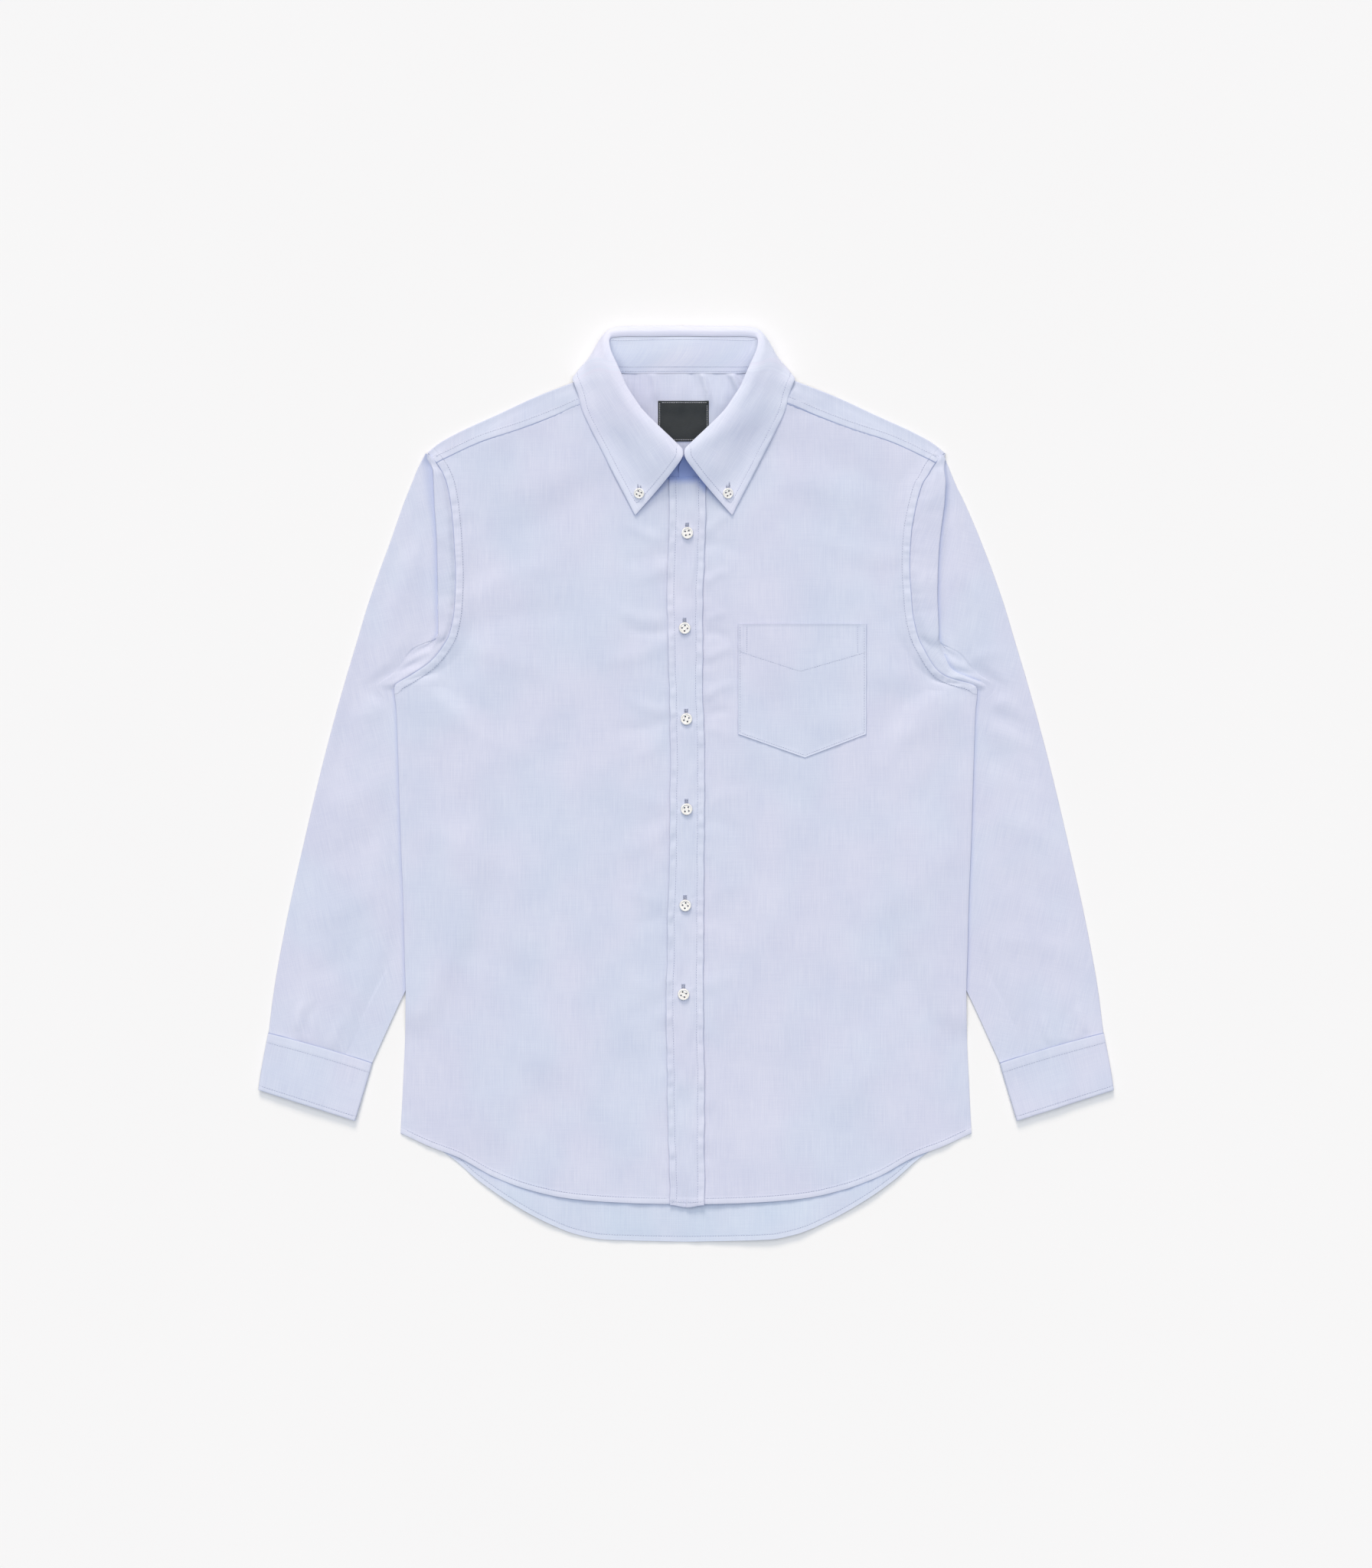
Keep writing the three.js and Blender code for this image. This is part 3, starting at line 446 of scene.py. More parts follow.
def inner_yoke_z(x, y):
    """Height of the yoke's inner face, seen through the neck."""
    folds = np.maximum(-0.8, 1.9 * creases(YOKE_CREASES, x, y) + 0.5 * lattice(x, y, 7, 26, 92))
    return lower_z(x, y) + (0.8 + folds) * smooth((y - 350) / 16)


def upper_z(x, y):
    """Middle of the upper layer of the body, as in the frame."""
    from_side = side_x(y) - np.abs(x)
    from_fold = fold_y(x) - y
    crown = BODY_CROWN * smooth(from_side / 90) * smooth(from_fold / 26)
    neck_distance = np.abs(y - front_top_y(x)) * 0.7
    near_neck = 1 - smooth((neck_x(x) - 90) / 30)
    neck = NECK_RISE * near_neck * smooth(1 - neck_distance / NECK_RISE_WIDTH)
    beside = smooth(1 - from_side / ARMHOLE_RISE_WIDTH) * smooth((y - 92) / 4)
    rise = np.maximum(0, ARMHOLE_RISE * beside * smooth(from_fold / 12) - sleeve_lift(x, y))
    return lower_z(x, y) + LAYER_STEP + crown + np.maximum(neck, rise)


ARMHOLE = [(float(side_x(y)), y) for y in np.linspace(ARMPIT_Y, SHOULDER_TIP[1], 70)]
SIDE_SEAM = [(x, y) for y, x in BODY_SIDE if y <= ARMPIT_Y]
HEM_LINE = [(x, float(along(FRONT_HEM, x))) for x in np.linspace(0, 276, 47)]
YOKE_LINE = [(x, float(along(YOKE_SEAM, x))) for x in np.linspace(88, 250, 40)]


def puckers(run, seed, pitch):
    """Uneven ripples along a seam."""
    return lattice(run, np.zeros_like(run), pitch, 1.0, seed)


# Ripples beside each of the body's seams: height, which stretch of noise, its seed and pitch, then
# how far from the seam they are strongest, and their half width
SEAM_RIPPLES = {
    "armhole": ((0.5, 900, 11, 2.7, 3.6, 3.2), (0.5, 500, 12, 11, 10, 13)),
    "yoke": ((0.3, 700, 13, 4.5, 3, 5),),
    "hem": ((0.45, 400, 14, 5, 0, 8), (0.8, 350, 15, 50, 0, 26)),
    "side": ((0.3, 300, 16, 12, 0, 10),),
}


def seam_ripples(name, distance, run, side):
    """Height of the uneven ripples beside a seam."""
    total = 0.0
    for height, stretch, seed, pitch, strongest, width in SEAM_RIPPLES[name]:
        ripple = height * puckers(run + stretch * side, seed, pitch)
        total = total + ripple * bell(distance - strongest, width)
    return total


def body_z(x, y):
    """Middle of the upper layer with its folds, seam bands and puckers."""
    mirror = np.abs(x)
    side = np.where(x > 0, 1.0, -1.0)
    z = upper_z(x, y)
    from_edge = side_x(y) - mirror
    calm = smooth(from_edge / 30) * smooth((fold_y(x) - y) / 18)
    diagonal = x * side * 0.75 + y * 0.66
    square = y * 0.75 - x * side * 0.66
    broad = 0.6 * lattice(diagonal, square, 62, 120, 3) + 0.4 * lattice(diagonal, square, 24, 52, 4)
    fine = 0.12 * lattice(x, y, 12, 18, 5)
    z = z + calm * (broad + fine) + creases(FRONT_CREASES, x, y) * smooth(from_edge / 12)
    arm, arm_run = nearest(ARMHOLE, mirror, y)
    z = z + 0.5 * smooth(FELL_WIDTH + 0.7 - arm) + seam_ripples("armhole", arm, arm_run, side)
    yoke_seam, yoke_run = nearest(YOKE_LINE, mirror, y)
    above = (y > front_top_y(x)) & (mirror > 80)
    z = z + np.where(above, 0.5 * smooth((YOKE_STITCH + 0.8 - yoke_seam) / 1.2), 0)
    z = z + seam_ripples("yoke", yoke_seam, yoke_run, side)
    hem, hem_run = nearest(HEM_LINE, mirror, y)
    z = z + 0.4 * smooth(HEM_WIDTH - hem) + seam_ripples("hem", hem, hem_run, side)
    z = z + seam_ripples("side", *nearest(SIDE_SEAM, mirror, y), side)
    beside_placket = bell(mirror - 20, 7)
    z = z + 0.45 * beside_placket * lattice(y + 60 * side, x * 0, 8, 1, 17)
    return np.maximum(z, lower_z(x, y) + 0.85)


def grid_normals(points, closed):
    """Unit normals of a grid of points."""
    across = np.empty_like(points)
    if closed:
        across[:] = np.roll(points, -1, axis=1) - np.roll(points, 1, axis=1)
    else:
        across[:, 1:-1] = points[:, 2:] - points[:, :-2]
        across[:, 0] = points[:, 1] - points[:, 0]
        across[:, -1] = points[:, -1] - points[:, -2]
    down = np.empty_like(points)
    down[1:-1] = points[2:] - points[:-2]
    down[0] = points[1] - points[0]
    down[-1] = points[-1] - points[-2]
    normal = np.cross(across, down)
    length = np.linalg.norm(normal, axis=2, keepdims=True)
    return normal / np.maximum(length, 1e-9)


def left_arm_settled(vertices):
    """Vertices moved to how the left armhole lies, which is not quite the right one's mirror image."""
    x, y = vertices[:, 0], vertices[:, 1]
    rows = np.array(LEFT_ARM_SHIFT, float)
    seam_shift, fold_shift, outer_shift = through(rows[:, 0], rows[:, 1:], y).T
    stations = [row for row in SLEEVE_STATIONS if row[3] >= ARMPIT_Y][::-1]
    seam = side_x(y)
    fold = seam + np.interp(y, [row[3] for row in stations], [row[4] for row in stations])
    outer = np.interp(y, [row[1] for row in stations], [row[0] for row in stations])
    inward = seam_shift * smooth((x - seam + 50) / 42)
    on_strip = mix(seam_shift, fold_shift, np.clip((x - seam) / (fold - seam), 0, 1))
    reach = np.clip(outer - fold, 1.0, 34.0)
    outward = mix(fold_shift, outer_shift, np.clip((x - fold) / reach, 0, 1))
    moved = vertices.copy()
    moved[:, 0] += np.where(x < seam, inward, np.where(x < fold, on_strip, outward)) * (x > 0)
    middle_x, middle_y, width, depth = LEFT_ARM_SAG
    moved[:, 1] -= depth * np.exp(-((x - middle_x) ** 2 + (y - middle_y) ** 2) / width**2)
    return moved


def quads(a, b, c, d):
    return np.stack([np.ravel(a), np.ravel(b), np.ravel(c), np.ravel(d)], axis=1)


def in_scene(name, data):
    """A new object with this data, in the scene."""
    piece = bpy.data.objects.new(name, data)
    bpy.context.scene.collection.objects.link(piece)
    return piece


def new_object(name, vertices, faces, material, sharp=55):
    mesh = bpy.data.meshes.new(name)
    mesh.from_pydata(left_arm_settled(np.asarray(vertices, float)) * MM, [], faces)
    mesh.shade_smooth()
    mesh.set_sharp_from_angle(angle=math.radians(sharp))
    mesh.materials.append(material)
    return in_scene(name, mesh)


def cloth_shell(name, points, wall, material, cloth, lines=None, closed=False):
    """A thin closed shell about a grid of points, with its cloth and seam coordinates.

    cloth holds millimetres across and along the weave; lines holds up to three distances, mostly
    from seams, which the material turns into stitched grooves and into painted shade, painted
    shadow and painted highlight.
    """
    rows, cols = points.shape[:2]
    normal = grid_normals(points, closed) * wall / 2
    outer = points + normal
    inner = points - normal
    vertices = np.concatenate([outer.reshape(-1, 3), inner.reshape(-1, 3)])
    vertices[:, 2] = np.maximum(vertices[:, 2], 0.05)
    shift = rows * cols
    index = np.arange(shift).reshape(rows, cols)
    under = index + shift
    following = np.roll(index, -1, axis=1) if closed else index[:, 1:]
    leading = index if closed else index[:, :-1]
    faces = [
        quads(leading[:-1], following[:-1], following[1:], leading[1:]),
        quads(following[:-1] + shift, leading[:-1] + shift, leading[1:] + shift, following[1:] + shift),
        quads(following[0], leading[0], leading[0] + shift, following[0] + shift),
        quads(leading[-1], following[-1], following[-1] + shift, leading[-1] + shift),
    ]
    if not closed:
        faces.append(quads(index[:-1, 0], index[1:, 0], under[1:, 0], under[:-1, 0]))
        faces.append(quads(index[1:, -1], index[:-1, -1], under[:-1, -1], under[1:, -1]))
    piece = new_object(name, vertices, np.concatenate(faces).tolist(), material)
    add_vectors(piece, "cloth", cloth)
    add_vectors(piece, "lines", lines if lines is not None else np.full_like(cloth, FAR))
    return piece


def add_vectors(piece, name, values):
    """Store a grid of vectors on both faces of a shell."""
    flat = np.asarray(values, np.float32).reshape(-1, 3)
    both = np.concatenate([flat, flat])
    attribute = piece.data.attributes.new(name, "FLOAT_VECTOR", "POINT")
    attribute.data.foreach_set("vector", both.ravel())


def stack(*columns):
    return np.stack(np.broadcast_arrays(*columns), axis=-1).astype(float)


def rotated(x, y, degrees):
    """Coordinates turned to a sleeve's or cuff's own grain."""
    angle = math.radians(degrees)
    return x * math.cos(angle) + y * math.sin(angle), y * math.cos(angle) - x * math.sin(angle)


class Nodes:
    """Short ways to build a material's nodes."""

    def __init__(self, name):
        self.material = bpy.data.materials.new(name)
        self.material.use_nodes = True
        self.tree = self.material.node_tree
        self.shader = self.tree.nodes["Principled BSDF"]

    def add(self, kind, **inputs):
        node = self.tree.nodes.new(kind)
        for key, value in inputs.items():
            self.put(node.inputs[key.replace("_", " ")], value)
        return node

    def put(self, socket, value):
        if isinstance(value, bpy.types.NodeSocket):
            self.tree.links.new(value, socket)
        else:
            socket.default_value = value

    def math(self, operation, a, b=0.0, c=0.0):
        node = self.tree.nodes.new("ShaderNodeMath")
        node.operation = operation
        for socket, value in zip(node.inputs, (a, b, c)):
            self.put(socket, value)
        return node.outputs[0]

    def attribute(self, name):
        node = self.tree.nodes.new("ShaderNodeAttribute")
        node.attribute_name = name
        return node.outputs["Vector"]

    def parts(self, vector):
        return self.add("ShaderNodeSeparateXYZ", Vector=vector).outputs

    def noise(self, vector, scale, detail=2.0, roughness=0.5):
        """Noise of a vector whose parts are first multiplied by scale."""
        node = self.tree.nodes.new("ShaderNodeVectorMath")
        node.operation = "MULTIPLY"
        self.put(node.inputs[0], vector)
        node.inputs[1].default_value = scale
        texture = self.add("ShaderNodeTexNoise", Scale=1.0, Detail=detail, Roughness=roughness)
        self.put(texture.inputs["Vector"], node.outputs[0])
        return texture.outputs[0]

    def blend(self, factor, a, b):
        node = self.tree.nodes.new("ShaderNodeMix")
        node.data_type = "RGBA"
        self.put(node.inputs["Factor"], factor)
        self.put(node.inputs["A"], a)
        self.put(node.inputs["B"], b)
        return node.outputs["Result"]

    def ease(self, value, low, high, to_low=0.0, to_high=1.0):
        node = self.tree.nodes.new("ShaderNodeMapRange")
        node.interpolation_type = "SMOOTHSTEP"
        limits = {"From Min": low, "From Max": high, "To Min": to_low, "To Max": to_high}
        for key, number in limits.items():
            node.inputs[key].default_value = number
        self.put(node.inputs["Value"], value)
        return node.outputs["Result"]

    def set(self, **values):
        for key, value in values.items():
            self.put(self.shader.inputs[key.replace("_", " ")], value)

    def bump(self, height, distance, strength=1.0, normal=None):
        node = self.add("ShaderNodeBump", Height=height, Distance=distance, Strength=strength)
        if normal is not None:
            self.put(node.inputs["Normal"], normal)
        return node.outputs["Normal"]


# Painted shade of a needle hole, the colour of the small dark blob after each stitch
NEEDLE_HOLE_SHADE = (0.16, 0.20, 0.36)
# Painted shade of a buttonhole: its slit and the dark stitches along its rails
BUTTONHOLE_SHADE = (0.035, 0.045, 0.12)
# Light and dark tone of each cotton; the collar's leaf and stand tones are the same shirting
# painted lighter, painted light against the shade of their sloping faces
BLUE = (0.700, 0.728, 0.850), (0.573, 0.610, 0.762)
STAND_PAINTED_LIGHTER = (0.860, 0.890, 0.990), (0.715, 0.752, 0.920)
LEAF_PAINTED_LIGHTER = (0.818, 0.833, 0.952), (0.672, 0.697, 0.854)
INSIDE = (0.665, 0.722, 0.840), (0.541, 0.606, 0.754)
# Painted shadow: thin dark lines where one layer of cloth meets the next
SEAM_SHADE = (0.30, 0.36, 0.58)
# Painted shadow: wide soft shade beside and under layers that stand over the cloth
SOFT_SHADE = (0.24, 0.33, 0.66)
# Painted highlight: the lighter colour laid along raised stitched bands
BAND_HIGHLIGHT = (0.80, 0.83, 0.94)
SKY_TINT = (0.970, 0.995, 1.0)
LILAC_TINT = (1.0, 0.985, 0.995)
THREAD_PITCH = 0.62


def cotton(name, tones, grooves=(), seams=(), shades=(), bands=()):
    """End-on-end cotton: white and blue threads that mix to a streaked light blue.

    grooves are (part of the lines attribute, distance from the seam, half width, depth): stitch
    grooves, bumped and darkened with painted shade. seams, told in the same way, are thin lines
    of painted shadow where one layer meets the next. shades are wide soft painted shadows beside
    a layer that stands over this one. bands are (part, how far from the seam, how much lighter):
    painted highlight along the raised stitched bands.
    """
    n = Nodes(name)
    cloth = n.attribute("cloth")
    warp = n.noise(cloth, (1.7, 0.03, 1.0), 2.0, 0.6)
    weft = n.noise(cloth, (0.03, 1.6, 1.0), 2.0, 0.6)
    slub = n.noise(cloth, (0.55, 0.07, 1.0), 2.0)
    mottle = n.noise(cloth, (0.021, 0.017, 1.0), 3.0, 0.55)
    turn = 2 * math.pi / THREAD_PITCH
    ends, picks = (n.math("SINE", n.math("MULTIPLY", part, turn)) for part in n.parts(cloth)[:2])
    weave = n.math("MULTIPLY", ends, picks)
    tone = 0.0
    for texture, share in ((warp, 1.15), (weft, 0.6), (slub, 0.3), (mottle, 0.9)):
        tone = n.math("MULTIPLY_ADD", n.math("SUBTRACT", texture, 0.5), share, tone)
    tone = n.math("MULTIPLY_ADD", weave, 0.06, n.math("ADD", tone, 0.5))

    def lines(table):
        total = 0.0
        for part, distance, width, depth in table:
            line = n.parts(n.attribute("lines"))[part]
            off = n.math("ABSOLUTE", n.math("SUBTRACT", line, distance))
            total = n.math("ADD", total, n.ease(off, 0.0, width, depth, 0.0))
        return total

    hue = n.ease(n.noise(cloth, (0.011, 0.009, 0.37), 2.0, 0.5), 0.35, 0.65)

    def tinted(shade):
        tints = (SKY_TINT, LILAC_TINT)
        return n.blend(hue, *(tuple(a * b for a, b in zip(shade, tint)) + (1,) for tint in tints))

    light, dark = tones
    colour = n.blend(n.ease(tone, -0.2, 1.2), tinted(dark), tinted(light))
    # Painted highlight: lighter within each stitched band
    for part, reach, lighter in bands:
        line = n.parts(n.attribute("lines"))[part]
        colour = n.blend(n.ease(line, reach - 0.9, reach, lighter, 0.0), colour, (*BAND_HIGHLIGHT, 1))
    # Painted shade: the cloth is darker in each stitch groove
    groove_shade = tuple(0.86 * value for value in dark)
    # Painted shadow: thin lines at seams and wide soft shadows beside raised layers
    for table, strength, shade in (
        (grooves, 0.4, groove_shade), (seams, 1.0, SEAM_SHADE), (shades, 1.0, SOFT_SHADE),
    ):
        if table:
            amount = n.math("MULTIPLY", lines(table), strength)
            colour = n.blend(n.math("MINIMUM", amount, 1.0), colour, (*shade, 1))
    height = n.math("MULTIPLY_ADD", weave, 0.35, n.math("MULTIPLY", warp, 0.8))
    normal = n.bump(height, 0.00010, 0.55)
    if grooves:
        normal = n.bump(n.math("SUBTRACT", 0.0, lines(grooves)), 0.00022, 1.0, normal)
    n.set(Base_Color=colour, Roughness=0.86, Normal=normal)
    n.set(Specular_IOR_Level=0.25, Sheen_Weight=0.1, Sheen_Roughness=0.5)
    return n.material


def thread(name, colour, shade, dark=NEEDLE_HOLE_SHADE):
    """Twisted sewing thread; where its hole attribute is set it takes a dark painted-shade colour, for
    needle holes and a buttonhole's slit.
    """
    n = Nodes(name)
    place = n.add("ShaderNodeNewGeometry").outputs["Position"]
    grain = n.noise(place, (900.0, 900.0, 900.0), 2.0)
    strand = n.blend(n.ease(grain, 0.3, 0.7), (*shade, 1), (*colour, 1))
    hole = n.tree.nodes.new("ShaderNodeAttribute")
    hole.attribute_name = "hole"
    n.set(Base_Color=n.blend(hole.outputs["Fac"], strand, (*dark, 1)), Roughness=0.7)
    n.set(Normal=n.bump(grain, 0.0001, 0.4), Specular_IOR_Level=0.3)
    return n.material


def resin(name):
    """Ivory button resin, faintly clouded."""
    n = Nodes(name)
    place = n.add("ShaderNodeNewGeometry").outputs["Position"]
    cloud = n.noise(place, (260.0, 420.0, 300.0), 3.0)
    fleck = n.noise(place, (1500.0, 1500.0, 1500.0), 2.0)
    colour = n.blend(n.ease(cloud, 0.3, 0.75), (0.84, 0.825, 0.79, 1), (0.92, 0.915, 0.905, 1))
    n.set(Base_Color=colour, Roughness=n.ease(fleck, 0.2, 0.8, 0.24, 0.36))
    n.set(Normal=n.bump(fleck, 0.00005, 0.2), Coat_Weight=0.15, Subsurface_Weight=0.08)
    n.shader.inputs["Subsurface Radius"].default_value = (0.002, 0.0015, 0.001)
    return n.material


def satin(name):
    """Dark woven label satin, blank."""
    n = Nodes(name)
    cloth = n.attribute("cloth")
    x, y, _ = n.parts(cloth)
    floats = n.math("SINE", n.math("MULTIPLY", n.math("MULTIPLY_ADD", x, 0.35, y), 2 * math.pi / 0.45))
    streak = n.noise(cloth, (0.3, 2.4, 1.0), 3.0)
    blotch = n.noise(cloth, (0.12, 0.12, 1.0), 2.0)
    tone = n.math("MULTIPLY_ADD", floats, 0.18, n.math("MULTIPLY_ADD", blotch, 0.5, streak))
    n.set(Base_Color=n.blend(n.ease(tone, 0.3, 1.3), (0.016, 0.021, 0.024, 1), (0.030, 0.036, 0.040, 1)))
    n.set(Roughness=0.55, Specular_IOR_Level=0.35, Normal=n.bump(floats, 0.00006, 0.5))
    return n.material


def flat_tone(name, colour, roughness, scale):
    """Plain surface with a faint grain, for the floor and small dark details: the painted shade on button
    holes' walls.
    """
    n = Nodes(name)
    place = n.add("ShaderNodeNewGeometry").outputs["Position"]
    grain = n.noise(place, (scale, scale, scale), 2.0)
    shade = tuple(0.985 * value for value in colour)
    n.set(Base_Color=n.blend(grain, (*shade, 1), (*colour, 1)), Roughness=roughness)
    n.set(Specular_IOR_Level=0.1)
    return n.material


BACK_HEM_STITCH = 5.0
POCKET_STITCH = 2.0
STAND_STITCH = 6.4
STAND_SEAM_STITCH = 1.8
STAND_TOP_STITCH = 33.0
# Cotton of each piece: its tones, then cotton's tables of grooves, seams, shades and bands: painted
# shade in stitch grooves, painted shadow lines at seams, wide painted shadows and painted highlight
COTTONS = {
    "front": (BLUE, ((0, FELL_WIDTH, 0.7, 0.8), (1, FRONT_HEM_STITCH, 0.6, 0.5)),
              ((0, 0.0, 0.9, 0.85),), ((2, 0.0, 8.0, 0.5),),
              ((0, FELL_WIDTH, 0.08), (1, FRONT_HEM_STITCH, 0.25))),
    "back": (INSIDE, ((1, BACK_HEM_STITCH, 0.7, 0.5),), ((0, 0.0, 0.9, 0.5),),
             ((0, 0.0, 5.0, 0.15),), ((1, BACK_HEM_STITCH, 0.2),)),
    "yoke": (BLUE, ((0, FELL_WIDTH, 0.7, 0.6), (2, YOKE_STITCH, 0.7, 0.7)),
             ((0, 0.0, 0.9, 0.85), (2, 0.6, 0.8, 0.8)), (),
             ((0, FELL_WIDTH, 0.08), (2, YOKE_STITCH, 0.1))),
    "sleeve": (BLUE, (), ((1, 0.2, 0.9, 0.85),), ((0, 0.0, 8.0, 0.34), (2, 0.0, 5.0, 0.22))),
    "cuff": (BLUE, ((0, CUFF_STITCH, 0.7, 0.6), (1, CUFF_EDGE_STITCH, 0.7, 0.6)),
             ((0, 0.0, 0.7, 0.8),), (), ((0, CUFF_STITCH, 0.1), (1, CUFF_EDGE_STITCH, 0.1))),
    "leaf": (LEAF_PAINTED_LIGHTER, ((0, LEAF_STITCH, 0.7, 0.6),), (), (), ((0, LEAF_STITCH, 0.08),)),
    "stand": (STAND_PAINTED_LIGHTER, ((0, STAND_STITCH, 0.7, 0.6), (0, STAND_SEAM_STITCH, 0.7, 0.6), (1, 1.6, 0.7, 0.5)),
              (), ((2, 0.0, 1.0, 0.9),)),
    "placket": (BLUE, ((0, PLACKET_STITCH, 0.6, 0.5), (1, PLACKET_END_STITCH, 0.6, 0.5)),
                ((0, 0.0, 0.5, 0.55), (1, 0.0, 0.4, 0.5)), ((2, 0.0, 9.5, 0.9),),
                ((0, PLACKET_STITCH, 0.07),)),
    "pocket": (BLUE, ((0, POCKET_STITCH, 0.6, 0.5), (1, 0.0, 0.7, 0.6)), ((0, 0.0, 0.4, 0.4),)),
}
TIP_CLEAR = 4.5
LEAF_FRONT = [tuple(COLLAR_SECTIONS[-1][k:k + 2]) for k in (3, 6, 9, 12)]


def below_leaves(x, y):
    """Distance in plan from the nearer front edge of the collar's leaves, more so near their tips; by it
    the material paints the leaves' shadow.
    """
    distance, _ = nearest(LEAF_FRONT, np.abs(x - COLLAR_SHIFT), y)
    return distance + TIP_CLEAR * smooth((288 - y) / 24)


# Rounds in which a panel's edge settles on a seam that depends on where the edge is
EDGE_ROUNDS = 14


def rounded_edge(distance, width, drop):
    """How far cloth turns down within a short distance of its edge."""
    return drop * np.clip(1 - distance / width, 0, 1) ** 2


def front_panel(side, material):
    """Front panel from hem to neckline and yoke seam; side is +1 for the wearer's left."""
    start = CENTRE_OVERLAP + SEAM_GAP if side > 0 else -CENTRE_OVERLAP
    u = graded((0.14, 20), (0.8, 52), (1.0, 34))[None, :]
    v = graded((0.03, 16), (0.64, 96), (0.955, 142), (0.990, 12), (1.0, 24))[:, None]
    first = BODY_SIDE[0][0]

    def place(y):
        return mix(start, side_x(y), u)

    hem = along(FRONT_HEM, np.abs(place(first)))
    top = np.full_like(hem, SHOULDER_TIP[1])
    for _ in range(EDGE_ROUNDS):
        top = mix(top, front_top_y(side * place(top)), 0.8)
    y = mix(hem, top + UNDER_REACH, v)
    x = side * place(y)
    seam_y = front_top_y(x)
    tucked = smooth((y - seam_y + 0.2) / 0.8) * smooth((neck_x(x) - 82) / 5)
    z = body_z(x, y) - UNDER * tucked
    from_side = side_x(y) - np.abs(x)
    arm, _ = nearest(ARMHOLE, np.abs(x), y)
    open_side = y < ARMPIT_Y + 6
    z = z - np.where(open_side, rounded_edge(from_side, 1.8, 0.7), 0)
    right, left = placket_sides(y)
    beside = np.maximum(right - x, x - left)
    z = z - 0.45 * bell(beside - 0.4, 1.5) * smooth((292 - y) / 8)
    z = z - rounded_edge(y - hem, 1.0, 0.3)
    z = z - np.where(open_side, 0, rounded_edge(arm, 0.8, 0.25))
    armhole_lines = np.where(y > ARMPIT_Y - 12, arm, FAR)
    # Painted shadow: a thin line at the armhole seam, and the collar leaves' shadow by the last distance
    lines = stack(armhole_lines, y - hem, below_leaves(x, y))
    points = stack(x, y, z)
    name = f"front_{SIDE_NAMES[side]}_cloth"
    return cloth_shell(name, points, SHELL, material, stack(x, y, 1.0 + side), lines)


def back_z(x, y):
    """Middle of the back panel, which lifts a little along its hem."""
    x, y = np.broadcast_arrays(np.asarray(x, float), np.asarray(y, float))
    from_hem = y - along(BACK_HEM, np.abs(x))
    wave = 1.9 + 1.1 * puckers(x + 100, 21, 40)
    ripple = 0.3 * puckers(x, 22, 6) * bell(from_hem, 8)
    raised = np.maximum(0, (wave + ripple) * smooth(1 - from_hem / 46)) * smooth((-340 - y) / 30)
    return lower_z(x, y) + raised


def back_panel(material):
    half = graded((0.6, 34), (1.0, 40))
    u = np.concatenate([-half[::-1], half[1:]])[None, :]
    v = graded((0.05, 14), (1.0, 110))[:, None]
    hem = along(BACK_HEM, np.abs(u) * side_x(BODY_SIDE[0][0]))
    y = mix(hem, BACK_SEAM_Y, v)
    x = u * side_x(y)
    # Painted shadow on the back: a thin line and a soft band under the front hem's edge
    lines = stack(np.abs(along(FRONT_HEM, np.abs(x)) - y), y - hem, FAR)
    points = stack(x, y, back_z(x, y))
    return cloth_shell("back_cloth", points, BACK_SHELL, material, stack(x, y, 5.0), lines)


